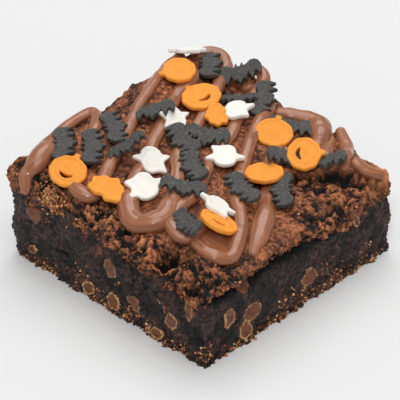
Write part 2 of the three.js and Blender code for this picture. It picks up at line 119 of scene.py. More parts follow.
# Sugar shapes in the order they fell: kind, x, y, turn, lean, heading, size
SUGAR = [
    ("bat", 5, 31, 30, 10, -30, 1), ("ghost", -36.5, 31, 45, 30, 135, 1),
    ("bat", -29.5, 33, 135, 5, -120, 1), ("bat", -19.5, 35.5, 45, 30, -90, 1),
    ("bat", -7, 32, 120, 15, -60, 1), ("ghost", -7.5, 21.5, 45, 10, -135, 0.95),
    ("bat", -12, 27.5, 45, 15, 150, 0.8), ("pumpkin", -30.5, 21.5, 150, 5, -90, 1),
    ("notched", -10, 16, 165, 15, -60, 0.8), ("smiling", -19, 19, 90, 5, -45, 1.1),
    ("bat", -23.5, 3.5, 45, 15, -120, 1), ("bat", -6, 8, 30, 20, -60, 1),
    ("ghost", -17.5, 6.5, 270, 30, 0, 0.85), ("bat", -9, 1.5, 345, 15, -90, 1),
    ("bat", 1, -4.5, 330, 10, -120, 1), ("bat", -31.5, -24, 135, 10, -90, 1),
    ("bat", -24.5, -19.5, 135, 10, -60, 1), ("bat", -26.5, -9, 150, 5, 0, 1),
    ("bat", -16.5, -13.5, 60, 30, -135, 0.9), ("smiling", -22, -31, 15, 25, -60, 1),
    ("notched", -9, -28, 30, 15, 0, 1.05), ("ghost", -9.5, -10.5, 60, 30, 0, 1),
    ("ghost", -2, -21, 255, 20, -60, 1.05), ("bat", 6, -13.5, 45, 15, 30, 1),
    ("ghost", 4, 5, 225, 5, -45, 1), ("bat", 15.5, 18.5, 60, 25, 15, 0.95),
    ("pumpkin", 5.5, 23.5, 30, 20, -45, 1), ("bat", 24.5, 25, 30, 20, -135, 0.9),
    ("smiling", 19, 21.5, 315, 20, -60, 1), ("plain", 15.5, 9, 30, 5, -165, 1),
    ("bat", 17, -1.5, 345, 5, -75, 1), ("bat", 23.5, 8, 315, 15, -90, 0.95),
    ("bat", 17.5, -24, 345, 30, -120, 0.9), ("ghost", 18, -12.5, 30, 30, 60, 1),
    ("smiling", 23, -17, 30, 25, 60, 1),
]
FOOTPRINT = {"bat": (6.2, 3.2), "ghost": (4.6, 4.0), "pumpkin": (5.5, 4.8)}
PRESS = 0.82
SINK = 0.1
MAP_REACH = 46.0
MAP_STEP = 0.5
MAP_SIZE = 185
BLOCK_FLOOR = 10.0

# The right half of the bat's outline, from the top of the middle line to its foot
BAT = [
    (0, 1.9), (0.5, 2.1), (1.0, 3.5), (1.6, 1.9), (2.6, 2.3), (3.8, 3.2), (5.2, 3.4), (6.4, 2.7), (7.2, 1.3),
    (7.3, -0.8), (6.9, -3.0), (6.1, -1.9), (5.3, -0.6), (5.0, -1.8), (4.4, -4.0), (3.6, -2.8), (2.9, -0.9),
    (2.5, -2.0), (1.9, -3.4), (1.3, -2.8), (0.8, -3.4), (0, -4.6),
]
# Once round the ghost: head, arm, the hem with its one pointed corner, arm
GHOST = [
    (0, 4.5), (1.6, 4.2), (2.8, 3.2), (3.2, 2.1), (4.3, 1.8), (5.5, 1.7), (5.6, 1.0), (4.6, 0.2), (3.6, -0.5),
    (3.4, -1.8), (3.9, -3.7), (3.1, -4.2), (1.2, -3.9), (-0.8, -4.3), (-2.5, -3.6), (-3.2, -2.2),
    (-3.4, -0.6), (-4.5, 0.1), (-5.6, 0.8), (-5.5, 1.5), (-4.3, 1.8), (-3.2, 2.1), (-2.8, 3.2), (-1.6, 4.2),
]
PUMPKIN = {"across": 5.6, "high": 4.9, "sides": 48, "lobes": 9, "lobe": 0.018}
STEM = {"high": 1.2, "foot": 0.9, "top": 0.85, "lean": 0.15}
# The chipped pumpkin's outline: how many waves round it, their depth and phase
CHIPPED = [(2, 0.12, 0.9), (3, 0.07, 2.0), (5, 0.07, 0.4), (9, 0.06, 1.3)]
CHIPPED_SIZE = 0.88
SMILE = {"across": 2.9, "drop": -0.3, "deep": 2.1, "thin": 1.15}

# Cut chocolate chips on the two near sides: side, place along it, height, half width,
# half height, turn in degrees, share of toffee-gold at its rim
CHIPS = [
    ("left", -28.5, 17.3, 2.6, 2.2, -35, 0.0), ("left", 1.5, 14.4, 2.8, 2.5, -40, 0.35),
    ("left", -7.5, 2.8, 2.0, 1.7, 0, 1.0), ("left", 2.7, 3.7, 2.1, 2.2, 0, 1.0),
    ("left", 11, 7.3, 2.3, 2.5, -20, 0.5), ("left", 25.3, 9.2, 2.0, 3.0, -10, 0.6),
    ("left", 20, 2.4, 2.1, 1.4, 0, 1.0), ("left", 31.5, 16.2, 1.4, 2.8, 5, 0.5),
    ("left", -30, 4.5, 1.0, 1.2, 0, 0.7), ("left", -3, 18, 1.3, 1.2, 0, 0.0),
    ("right", -28, 11.8, 2.3, 2.6, 10, 0.6), ("right", -19, 8.8, 2.9, 2.8, 20, 0.5),
    ("right", -22, 4.3, 2.2, 2.4, 0, 1.0), ("right", 3.7, 8.1, 2.7, 2.3, 25, 0.4),
    ("right", 23, 19.9, 2.0, 1.6, 0, 0.0), ("right", 23.3, 17.2, 0.7, 1.8, 5, 1.0),
    ("right", -22, 19.8, 2.4, 2.8, 0, 0.0),
]

# How far the crumb is dug out under a cut chip
CHIP_BED = 0.5
# How much wider a chip is than what shows of it, since crumb laps over its rim
CHIP_SPREAD = 1.2

# Places where gold-brown toffee crumbs show, and one painted highlight: side, place along it, height, radius,
# strength
GOLD_SPOTS_AND_GLINT = [
    ("left", -23.5, 25.5, 4.2, 1.0), ("left", -7, 1.5, 5.0, 0.6), ("left", 4.3, 10.2, 0.9, 1.0),
    ("left", 13.3, 5.1, 1.5, 1.0), ("left", 17, 2, 2.2, 0.9), ("left", 23, 12.2, 0.9, 1.0),
    ("left", 20, 13.3, 0.7, 0.8), ("left", 7.5, 1.5, 2.0, 0.9), ("left", 28.3, 2.5, 1.6, 0.7),
    ("left", 26.5, 6.4, 1.2, 0.9), ("left", 37.5, 4, 2.0, 1.0), ("left", -11.5, 23, 1.2, 0.6),
    ("right", -37.5, 4, 2.0, 1.0), ("right", -28, 9.4, 1.4, 0.9), ("right", -22, 4, 2.4, 0.9),
    # The spot 2.3 mm along the right side and 5.4 mm high is a painted highlight of a glint
    ("right", -26, 23.6, 2.0, 0.7), ("right", 2.3, 5.4, 1.1, 0.9), ("right", 26.5, 4, 3.0, 0.5),
    ("right", -5, 1.2, 4.0, 0.6), ("right", 12, 1.2, 6.0, 0.5),
]

# Hollows in the two near sides, darkened with painted shade: side, place along it, height, half width, half
# height, depth
HOLLOWS = [
    ("left", -18, 9.6, 2.8, 0.45, 1.2), ("left", 36.5, 7.4, 1.8, 1.5, 1.6),
    ("right", 14.5, 18.5, 3.6, 0.9, 1.8), ("right", 18, 20.2, 1.4, 0.8, 1.4),
]

# Hollows torn in the crust, with painted shade in them: x, y, radius, depth
TORN = [
    (19.5, -33, 3.6, 4.2), (31.5, -36, 2.2, 2.6), (35.5, -30.5, 1.6, 2.0), (24.5, -36.5, 1.5, 1.8),
    (12, -35, 1.6, 1.6),
]
# The gap under the flap's broken edge, painted black with shade: how far ahead of the edge, half width, depth
GAP = {"ahead": 1.0, "half": 0.55, "depth": 1.7}
# The shallow pool of chocolate inside the last loop: x, y, radius, level over the crust, rise at its rim
POOL = (24.5, -20.5, 6.0, 0.5, 1.0)
POOL_STREAK = 0.03
# How far the strip's end is pressed into the crust, as a share of its half width
SMEAR_SINK = 0.42
# The route that is pressed in along its whole length
PRESSED = "corner"

# How the crust swells at the far rims to meet the strands over it: how near the rim a strand is,
# how far from the strand the crust rises, how soon that fades, its depth in half widths, most rise
BANK = {"rim": 6.0, "reach": 3.8, "fade": 1.6, "under": 0.1, "most": 4.6}

# How finely the looks are built
BLOCK_COLUMNS = 240
CRUMB_ROWS = 78
CRUST_ROWS = 18
DRIZZLE_STEP = 0.55
SUGAR_VOXEL = 0.24
# The bats have sharper points than the rest, so they are built finer and less rounded
BAT_VOXEL = 0.22
BAT_SIZE = 0.92
BAT_EDGE = 0.5
STRAND_SIDES = 28
CHIP_SPOKES = 40
CHIP_RINGS = 9
POOL_SPOKES = 40
POOL_RINGS = 10
CRAG_SEED = 7

# How the crumb and the crust close out of sight, in one another: shares of the plan and of the
# height, and the level of the middle
CRUMB_TOP = 0.96
CRUMB_TUCK = {"plan": 0.8, "height": 0.6, "middle": 14.0}
CRUST_TUCK = {"plan": 0.88, "height": 0.35, "middle": 7.0}
# How deep a chip and the pool go under what shows of them
CHIP_DEPTH = 1.6
POOL_DEPTH = 0.6
# Fine streaks round a strand, and how much flatter it is than the solid's
STREAKS = 9.0
SQUASH = 0.9
# How far the faces of the sugar are dished, how wide the rim round them is, and how far a face
# rises again where it is far from any edge
DISH = 0.22
BAT_DISH = 0.08
DISH_RIM = 0.9
FACE_RISE = 0.3
RISE_RIM = 1.7
# Loose crumbs to a square metre: scattered dark and baked ones, and dense gold ones in their spots
SCATTERED = 420000
DENSE = 3200000

# Fixed tones: the painted shade deep in a gap in crumb and in crust, the tone under each sugar, its crystals
CRUMB_GAP_SHADE = "#080606"
CRUST_GAP_SHADE = "#090504"
BAT_SHADE = "#3d3c3a"
GHOST_SHADE = "#efeadd"
PUMPKIN_SHADE = "#f2932e"
CRYSTAL = "#aaa6a0"

# The camera: degrees, mm, and its focal length in widths of the sensor
CAMERA = {
    "azimuth": 44.45, "elevation": 36.2, "distance": 800.0, "target": (-3.65, 2.8, 14.0),
    "focal_widths": 7.0, "sensor": 36.0,
}
# Azimuth and elevation seen from the brownie, distance and width in metres, power in watts
LIGHTS = {
    "key": (222, 60, 1.1, 0.9, 5.6),
    "top": (62, 78, 1.2, 0.9, 4.6),
    "front": (38, 50, 1.3, 0.14, 3.0),
}
WORLD_STRENGTH = 0.33
# The paper sweep, in metres: its ends, its curve's radius, its height, half its width, steps
SWEEP = {"near": -2.5, "far": 1.4, "curve": 0.8, "high": 3.0, "half": 3.0, "steps": 12}


def linear(hex_colour):
    """An sRGB hex colour as linear red, green, blue and alpha."""
    parts = [int(hex_colour[i : i + 2], 16) / 255 for i in (1, 3, 5)]
    return [p / 12.92 if p <= 0.04045 else ((p + 0.055) / 1.055) ** 2.4 for p in parts] + [1.0]


def length(name, description, default_mm, least=0.0, most=1000.0):
    """A size that the user sees in scene units, from its value in millimetres."""
    return bpy.props.FloatProperty(
        name=name, description=description, default=default_mm * MM, min=least * MM, max=most * MM,
        unit="LENGTH", precision=5,
    )


def tone(name, description, hex_colour):
    """A colour that the user can change, from its sRGB hex value."""
    return bpy.props.FloatVectorProperty(
        name=name, description=description, default=linear(hex_colour), size=4, min=0, max=1,
        subtype="COLOR",
    )


class BrownieSizes(bpy.types.PropertyGroup):
    crumb_relief: length("Crumb relief", "How far the torn crumb stands in and out of the cut side", 0.5)
    pit_depth: length("Pit depth", "Depth of the small air pits in the cut sides", 0.75)
    crust_relief: length("Crust relief", "Height of the rubble along the broken rims", 1.15)
    crust_reach: bpy.props.FloatProperty(
        name="Crust reach", description="How far down the sides the crust hangs, as a share of the height",
        default=0.23, min=0.05, max=0.5, subtype="FACTOR",
    )
    chip_proud: length("Chip face", "How far a cut chip stands proud of the side", 0.02)
    streak: bpy.props.FloatProperty(
        name="Streaks", description="Depth of the lengthwise streaks of the drizzle, as a share of its width",
        default=0.024, min=0, max=0.2, subtype="FACTOR",
    )
    sugar_thickness: length("Sugar thickness", "Thickness of the pressed sugar shapes", 1.5)
    sugar_round: length("Sugar rounding", "Radius of the sugar shapes' soft edges", 0.42)
    crumb_least: length("Smallest crumb", "Radius of the smallest loose crumb", 0.14)
    crumb_most: length("Largest crumb", "Radius of the largest loose crumb", 0.52)


class BrownieColours(bpy.types.PropertyGroup):
    crumb: tone("Crumb", "Dense fudge crumb of the cut sides", "#1d1718")
    crumb_light: tone("Crumb, light", "Drier crumb between the dark patches", "#62423a")
    crust: tone("Crust", "Baked reddish-brown crust", "#9e583b")
    crust_dark: tone("Crust, dark", "Moist crumb in the crust's cracks", "#26150f")
    # The light crust colour also paints the highlight on lit flakes of the crust
    crust_light: tone("Crust, light", "Dry flakes of crust", "#e8955f")
    gold: tone("Toffee gold", "Caramelised crumbs and the rims of chips", "#d6a06c")
    gold_light: tone("Toffee gold, light", "The palest toffee crumbs", "#eccb92")
    chip: tone("Chip", "Cut face of a milk chocolate chip", "#6d402a")
    drizzle: tone("Drizzle", "Set milk chocolate", "#8a5236")
    drizzle_light: tone("Drizzle, light", "Paler streaks of the set chocolate", "#b47552")
    charcoal: tone("Charcoal sugar", "Bats", "#474643")
    orange: tone("Orange sugar", "Pumpkins", "#f8a03a")
    white: tone("White sugar", "Ghosts", "#f8f5ee")
    floor: tone("Floor", "Pale studio sweep", "#e9e9e9")


# Form functions


def smooth(t):
    s = np.clip(t, 0, 1)
    return s * s * (3 - 2 * s)


def bump_at(x, y, cx, cy, radius):
    return np.exp(-((x - cx) ** 2 + (y - cy) ** 2) / radius**2)


def make_rubble(seed=7, count=90, height=0.7, radius=2.4, least=0.6, spread=0.8, band=9.0):
    """The same lumps as the solid's, from the same generator."""
    state = seed
    lumps = []
    for i in range(count):
        draws = []
        for _ in range(4):
            state = (state * 16807) % 2147483647
            draws.append(state / 2147483647)
        along = (2 * draws[0] - 1) * HALF
        inward = HALF - draws[1] * band
        lump = ((2 * draws[2] - 1) * height, radius * (least + spread * draws[3]))
        place = (inward, along) if i % 2 else (along, -inward)
        lumps.append((*place, *lump))
    return lumps


LUMPS = make_rubble()


def ahead_of_flap(x, y):
    return ((x - 18.5) * 14.5 - (y - 17) * 12.5) / math.hypot(12.5, 14.5)


def flap_height(x, y):
    ahead = ahead_of_flap(x, y)
    drop = 2.6 * smooth(ahead / 1.6) * smooth((y + 2) / 12)
    lip = 0.9 * np.exp(-(((ahead + 2) / 2.5) ** 2)) * smooth((y - 8) / 8)
    return lip - drop


def crust(x, y):
    """Height of the crust without its rubble."""
    u = np.clip((x + HALF) / SIDE, 0, 1)
    v = np.clip((y + HALF) / SIDE, 0, 1)
    h = CORNER_HEIGHT["left"] * (1 - u) * (1 - v) + CORNER_HEIGHT["front"] * u * (1 - v)
    h = h + CORNER_HEIGHT["right"] * u * v + CORNER_HEIGHT["back"] * (1 - u) * v
    h = h + DOME * (1 - (2 * u - 1) ** 2) * (1 - (2 * v - 1) ** 2)
    h = h - EDGE_DROP * np.exp(-edge_distance(x, y) / EDGE_REACH)
    for height, wave, heading, phase in SWELLS:
        a = math.radians(heading)
        h = h + height * np.sin(2 * np.pi * (x * math.cos(a) + y * math.sin(a)) / wave + phase)
    h = h + flap_height(x, y)
    for cx, cy, radius, height in MOUNDS:
        h = h + height * bump_at(x, y, cx, cy, radius)
    return h


def edge_distance(x, y):
    return np.maximum(0, np.minimum(HALF - np.abs(x), HALF - np.abs(y)))


def rubble(x, y):
    return sum(height * bump_at(x, y, cx, cy, radius) for cx, cy, height, radius in LUMPS)


def wall_relief(x, y, t):
    """How far the cut side stands proud of its plane, at a share t of the rim's height."""
    out = FOOT * np.exp(-t / FOOT_REACH)
    for height, wave, phase, gain in SIDE_WAVES:
        out = out + height * np.sin(2 * np.pi * (x + y) / wave + phase + gain * t)
    out = out + CORNER_FLARE * t * bump_at(x, y, -HALF, -HALF, FLARE_REACH)
    crease = 1.9 * np.exp(-(((t - 0.86) / 0.07) ** 2))
    right = np.where(x > HALF - 3, smooth((y + 38) / 6) * smooth((12 - y) / 14), 0)
    left = np.where(y < 3 - HALF, 0.35, 0)
    return out - crease * (right + left)


def overhang(x, y):
    """Where the crust's smooth lip hangs over a crease, darkened with painted shade, on the right side."""
    return np.where(x > HALF - 4, smooth((y + 36) / 5) * smooth((12 - y) / 8), 0)


def plan_point(u, v):
    return (
        HALF * u * (1 - CORNER_PULL * v**CORNER_POWER),
        HALF * v * (1 - CORNER_PULL * u**CORNER_POWER),
    )


def perimeter(count):
    """Once round the square, anticlockwise from the left corner: u and v from -1 to 1."""
    s = 2 * np.arange(count) / count - 1
    one = np.ones(count)
    return np.concatenate([s, one, -s, -one]), np.concatenate([-one, s, one, -s])


def facing_out(u, v):
    """The direction in plan that the side faces, from places on the square from -1 to 1."""
    facing = np.column_stack([u**TURN_POWER, v**TURN_POWER])
    return facing / np.maximum(1e-9, np.hypot(*facing.T))[:, None]


def curve_point(p0, p1, p2, p3, t):
    """The point at a share t of the way from p1 to p2, on the smooth curve through all four."""
    return 0.5 * (2 * p1 + (p2 - p0) * t + (2 * p0 - 5 * p1 + 4 * p2 - p3) * t**2
                  + (3 * p1 - p0 - 3 * p2 + p3) * t**3)


def direction(azimuth, elevation):
    a, e = math.radians(azimuth), math.radians(elevation)
    return Vector((math.sin(a) * math.cos(e), -math.cos(a) * math.cos(e), math.sin(e)))


def soft_noise(points, size, octaves, seed):
    """Fractal noise of about -1 to 1 whose largest features are about size mm."""
    shift = Vector((17.3 * seed, -9.1 * seed, 5.7 * seed + 0.5))
    return np.array([noise.fractal(Vector(p) / size + shift, 1.0, 2.0, octaves) for p in points.tolist()])


def cell_shift(seed):
    """Gives each seed a pattern of cells of its own."""
    return Vector((11.9 * seed, 7.7 * seed, -13.1 * seed + 0.5))


def nearest_cell(points, size, seed):
    """Distance to the nearest of scattered points about size mm apart, as a share of size."""
    shift = cell_shift(seed)
    return np.array([noise.voronoi(Vector(p) / size + shift)[0][0] for p in points.tolist()])


def crags(points, size, seed):
    """Broken lumps about size mm across, each with a height and slope of its own, of about -1 to 1.
    Also how near each point is to a gap between two lumps."""
    shift = cell_shift(seed)
    # Without this, noise_vector takes its offsets from the clock
    noise.seed_set(CRAG_SEED)
    rows = []
    for p in points.tolist():
        place = Vector(p) / size + shift
        place += 0.25 * noise.noise_vector(2.3 * place)
        distances, middles = noise.voronoi(place)
        pick = noise.cell_vector(91.7 * middles[0])
        slope = 2 * pick - Vector((1, 1, 1))
        rows.append((0.5 * slope.x + 0.9 * slope.dot(place - middles[0]), distances[1] - distances[0]))
    level, gap = np.array(rows).T
    return level, np.exp(-((gap / 0.13) ** 2))


# Meshes and pieces


def make_piece(name, points_mm, faces, material, attributes=None):
    """A closed mesh in metres that rides with the brownie and stands for its solid."""
    mesh = bpy.data.meshes.new(name)
    mesh.from_pydata((np.asarray(points_mm, float) * MM).tolist(), [], faces)
    for label, values in (attributes or {}).items():
        mesh.attributes.new(label, "FLOAT", "POINT").data.foreach_set("value", values.astype(np.float32))
    mesh.shade_smooth()
    return finish_piece(name, mesh, material)


def finish_piece(name, mesh, material):
    """Makes a mesh into a piece of the brownie, with its material."""
    mesh.name = name
    mesh.materials.clear()
    mesh.materials.append(material)
    piece = bpy.data.objects.new(name, mesh)
    bpy.context.scene.collection.objects.link(piece)
    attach(piece, BODY)
    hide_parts(NODE)
    return piece


def ring_faces(rings, around):
    """Quads between rings of the same count, each ring above the last, anticlockwise from above."""
    faces = []
    for k in range(rings - 1):
        low, high = k * around, (k + 1) * around
        for i in range(around):
            j = (i + 1) % around
            faces.append((low + i, low + j, high + j, high + i))
    return faces


def side_frame(x, y):
    """Which side each point is on, and its place along it."""
    on_left = (y < 0) & (np.abs(y) >= np.abs(x))
    on_right = (x > 0) & (np.abs(x) > np.abs(y))
    return on_left, on_right


def spot_weight(x, y, z, side, along, height, half_width, half_height, turn=0.0):
    """Squared distance from a spot on a side, 1 at its rim."""
    on_left, on_right = side_frame(x, y)
    s = (x if side == "left" else y) - along
    h = z - height
    a = math.radians(turn)
    p = (s * math.cos(a) + h * math.sin(a)) / half_width
    q = (-s * math.sin(a) + h * math.cos(a)) / half_height
    return np.where(on_left if side == "left" else on_right, p * p + q * q, 99.0)


def gold_mask(points):
    """Where gold-brown crumbs show on the sides: the foot in patches and the named spots, one of them a
    painted highlight.
    """
    x, y, z = points.T
    patch = soft_noise(points, 7.0, 3, 11)
    gold = 0.75 * np.exp(-((z / 2.0) ** 2)) * smooth(patch * 2.2 + 0.65)
    for side, along, height, radius, strength in GOLD_SPOTS_AND_GLINT:
        gold = np.maximum(gold, strength * np.exp(-spot_weight(x, y, z, side, along, height, radius, radius)))
    speckle = soft_noise(points, 1.1, 3, 12)
    return np.clip(gold * smooth(0.55 + 1.6 * speckle), 0, 1)


# Materials


def add(tree, kind, values=None, links=None):
    """A node with its settings and links. Keys are socket names or numbers, or the node's own settings."""
    node = tree.nodes.new(kind)
    for key, value in (values or {}).items():
        if isinstance(key, int) or key in node.inputs:
            node.inputs[key].default_value = value
        else:
            setattr(node, key, value)
    for key, source in (links or {}).items():
        tree.links.new(source, node.inputs[key])
    return node


def per_mm(size):
    """The scale of a pattern on object coordinates whose features are about size mm."""
    return 1 / (size * MM)


def ramp(tree, source, stops):
    """A colour ramp from pairs of place and colour."""
    node = add(tree, "ShaderNodeValToRGB", links={"Fac": source})
    elements = node.color_ramp.elements
    while len(elements) < len(stops):
        elements.new(0.5)
    for element, (place, colour) in zip(elements, stops):
        element.position = place
        element.color = colour if hasattr(colour, "__len__") else (colour, colour, colour, 1)
    return node.outputs["Color"]


def new_material(name):
    """A material with its tree, its surface and its object coordinates."""
    material = bpy.data.materials.new(name)
    material.use_nodes = True
    tree = material.node_tree
    tree.nodes.clear()
    shader = add(tree, "ShaderNodeBsdfPrincipled")
    add(tree, "ShaderNodeOutputMaterial", links={"Surface": shader.outputs["BSDF"]})
    coords = add(tree, "ShaderNodeTexCoord").outputs["Object"]
    return material, tree, shader, coords


def fudge_crumb(colours):
    """Dense baked crumb, cut with a knife: nearly black and moist, with drier brown and gold grains."""
    material, tree, shader, coords = new_material("baked_fudge_crumb")
    patches = add(tree, "ShaderNodeTexNoise", {"Scale": per_mm(5), "Detail": 5}, {"Vector": coords})
    grains = add(tree, "ShaderNodeTexNoise", {"Scale": per_mm(0.9), "Detail": 5, "Roughness": 0.75},
                 {"Vector": coords})
    grainy = ramp(tree, grains.outputs["Fac"],
                  [(0.36, colours.crumb), (0.56, colours.crumb_light), (0.7, colours.crust)])
    body = add(tree, "ShaderNodeMix", {"data_type": "RGBA", 7: colours.crumb},
               {0: ramp(tree, patches.outputs["Fac"], [(0.44, 0.0), (0.56, 0.85)]), 6: grainy})
    gold_grain = ramp(tree, grains.outputs["Fac"],
                      [(0.36, colours.crust_dark), (0.46, colours.crust), (0.58, colours.gold)])
    gold = add(tree, "ShaderNodeAttribute", {"attribute_name": "gold"})
    gilded = add(tree, "ShaderNodeMix", {"data_type": "RGBA"},
                 {0: gold.outputs["Fac"], 6: body.outputs[2], 7: gold_grain})
    crack = add(tree, "ShaderNodeAttribute", {"attribute_name": "crack"})
    # Painted shade: near black in the gaps, the sunken places and the crease under the crust's lip
    shown = add(tree, "ShaderNodeMix", {"data_type": "RGBA", 7: linear(CRUMB_GAP_SHADE)},
                {0: crack.outputs["Fac"], 6: gilded.outputs[2]})
    tree.links.new(shown.outputs[2], shader.inputs["Base Color"])
    rough = ramp(tree, grains.outputs["Fac"], [(0.35, 0.3), (0.7, 0.8)])
    tree.links.new(rough, shader.inputs["Roughness"])
    shader.inputs["Specular IOR Level"].default_value = 0.4
    bump = add(tree, "ShaderNodeBump", {"Strength": 0.9, "Distance": 0.5 * MM},
               {"Height": grains.outputs["Fac"]})
    tree.links.new(bump.outputs["Normal"], shader.inputs["Normal"])
    return material


def baked_crust(colours):
    """Thin baked crust: reddish-brown matte flakes and darker moist crumb, with painted shade near black in
    the cracks and a painted highlight on lit flakes.
    """
    material, tree, shader, coords = new_material("baked_flaky_crust")
    patches = add(tree, "ShaderNodeTexNoise", {"Scale": per_mm(6), "Detail": 4}, {"Vector": coords})
    grains = add(tree, "ShaderNodeTexNoise", {"Scale": per_mm(1.0), "Detail": 6, "Roughness": 0.72},
                 {"Vector": coords})
    flakes = ramp(tree, grains.outputs["Fac"],
                  [(0.36, colours.crust_dark), (0.48, colours.crust), (0.64, colours.crust_light)])
    # Painted highlight: towards the light crust colour where flakes face the light, along the flap's lip and
    # over the right corner
    lit = add(tree, "ShaderNodeAttribute", {"attribute_name": "lit"})
    raised = add(tree, "ShaderNodeMath", {"operation": "MULTIPLY", 1: 0.8}, {0: lit.outputs["Fac"]})
    painted_highlight = add(tree, "ShaderNodeMix", {"data_type": "RGBA", 7: colours.crust_light},
                 {0: raised.outputs[0], 6: flakes})
    deep = add(tree, "ShaderNodeMix", {"data_type": "RGBA", 7: colours.crust_dark},
               {0: ramp(tree, patches.outputs["Fac"], [(0.42, 0.0), (0.7, 0.6)]), 6: painted_highlight.outputs[2]})
    gold = add(tree, "ShaderNodeAttribute", {"attribute_name": "gold"})
    gilded = add(tree, "ShaderNodeMix", {"data_type": "RGBA", 7: colours.gold},
                 {0: gold.outputs["Fac"], 6: deep.outputs[2]})
    # Painted shade: near black in the cracks, torn hollows, low places and the gap under the flap
    crack = add(tree, "ShaderNodeAttribute", {"attribute_name": "crack"})
    crack_shaded = add(tree, "ShaderNodeMix", {"data_type": "RGBA", 7: linear(CRUST_GAP_SHADE)},
                  {0: crack.outputs["Fac"], 6: gilded.outputs[2]})
    tree.links.new(crack_shaded.outputs[2], shader.inputs["Base Color"])
    shader.inputs["Roughness"].default_value = 0.7
    shader.inputs["Specular IOR Level"].default_value = 0.35
    bump = add(tree, "ShaderNodeBump", {"Strength": 0.9, "Distance": 0.5 * MM},
               {"Height": grains.outputs["Fac"]})
    tree.links.new(bump.outputs["Normal"], shader.inputs["Normal"])
    return material


def loose_crumb(name, low, middle, high):
    """Loose baked crumbs: matte grains that differ in colour from one to the next."""
    material, tree, shader, coords = new_material(name)
    each = add(tree, "ShaderNodeTexNoise", {"Scale": per_mm(1.6), "Detail": 3}, {"Vector": coords})
    colour = ramp(tree, each.outputs["Fac"], [(0.35, low), (0.5, middle), (0.66, high)])
    tree.links.new(colour, shader.inputs["Base Color"])
    shader.inputs["Roughness"].default_value = 0.75
    return material


def milk_chocolate(colours):
    """Set milk chocolate: satin gloss with fine lengthwise streaks from the piping nozzle."""
    material, tree, shader, coords = new_material("set_milk_chocolate")
    along = add(tree, "ShaderNodeAttribute", {"attribute_name": "along"})
    around = add(tree, "ShaderNodeAttribute", {"attribute_name": "around"})
    place = add(tree, "ShaderNodeCombineXYZ", links={0: along.outputs["Fac"], 1: around.outputs["Fac"]})
    # About a dozen streaks round a strand, each some 15 mm long
    stretched = add(tree, "ShaderNodeMapping", {"Scale": (70, 11, 1)}, {"Vector": place.outputs[0]})
    streaks = add(tree, "ShaderNodeTexNoise", {"Scale": 1.0, "Detail": 4, "Roughness": 0.6},
                  {"Vector": stretched.outputs[0]})
    bloom = add(tree, "ShaderNodeTexNoise", {"Scale": per_mm(3), "Detail": 3}, {"Vector": coords})
    colour = ramp(tree, streaks.outputs["Fac"], [(0.35, colours.drizzle), (0.68, colours.drizzle_light)])
    tree.links.new(colour, shader.inputs["Base Color"])
    sheen = ramp(tree, bloom.outputs["Fac"], [(0.35, 0.3), (0.7, 0.44)])
    tree.links.new(sheen, shader.inputs["Roughness"])
    shader.inputs["IOR"].default_value = 1.5
    shader.inputs["Specular IOR Level"].default_value = 0.35
    shader.inputs["Coat Weight"].default_value = 0.6
    shader.inputs["Coat Roughness"].default_value = 0.05
    shader.inputs["Subsurface Weight"].default_value = 0.08
    shader.inputs["Subsurface Radius"].default_value = (1.2 * MM, 0.5 * MM, 0.3 * MM)
    shader.inputs["Subsurface Scale"].default_value = 1.0
    bump = add(tree, "ShaderNodeBump", {"Strength": 0.7, "Distance": 0.45 * MM},
               {"Height": streaks.outputs["Fac"]})
    tree.links.new(bump.outputs["Normal"], shader.inputs["Normal"])
    return material


def pressed_sugar(name, colour, shade, soft, sparkle):
    """Pressed sugar: chalk-matte, with a fine grain, pale crystals and a little light passing through."""
    material, tree, shader, coords = new_material(name)
    grain = add(tree, "ShaderNodeTexNoise", {"Scale": per_mm(0.45), "Detail": 3}, {"Vector": coords})
    mottle = add(tree, "ShaderNodeTexNoise", {"Scale": per_mm(2.5), "Detail": 2}, {"Vector": coords})
    tint = add(tree, "ShaderNodeMix", {"data_type": "RGBA", 6: linear(shade), 7: colour},
               {0: ramp(tree, mottle.outputs["Fac"], [(0.3, 0.35), (0.6, 1.0)])})
    crystals = add(tree, "ShaderNodeTexNoise", {"Scale": per_mm(0.38), "Detail": 1}, {"Vector": coords})
    specked = add(tree, "ShaderNodeMix", {"data_type": "RGBA", 7: linear(CRYSTAL)},
                  {0: ramp(tree, crystals.outputs["Fac"], [(0.56, 0.0), (0.74, sparkle)]),
                   6: tint.outputs[2]})
    tree.links.new(specked.outputs[2], shader.inputs["Base Color"])
    shader.inputs["Roughness"].default_value = 0.78
    shader.inputs["Subsurface Weight"].default_value = soft
    shader.inputs["Subsurface Radius"].default_value = (0.9 * MM, 0.6 * MM, 0.4 * MM)
    shader.inputs["Subsurface Scale"].default_value = 1.0
    bump = add(tree, "ShaderNodeBump", {"Strength": 0.35, "Distance": 0.12 * MM},
               {"Height": grain.outputs["Fac"]})
    tree.links.new(bump.outputs["Normal"], shader.inputs["Normal"])
    return material


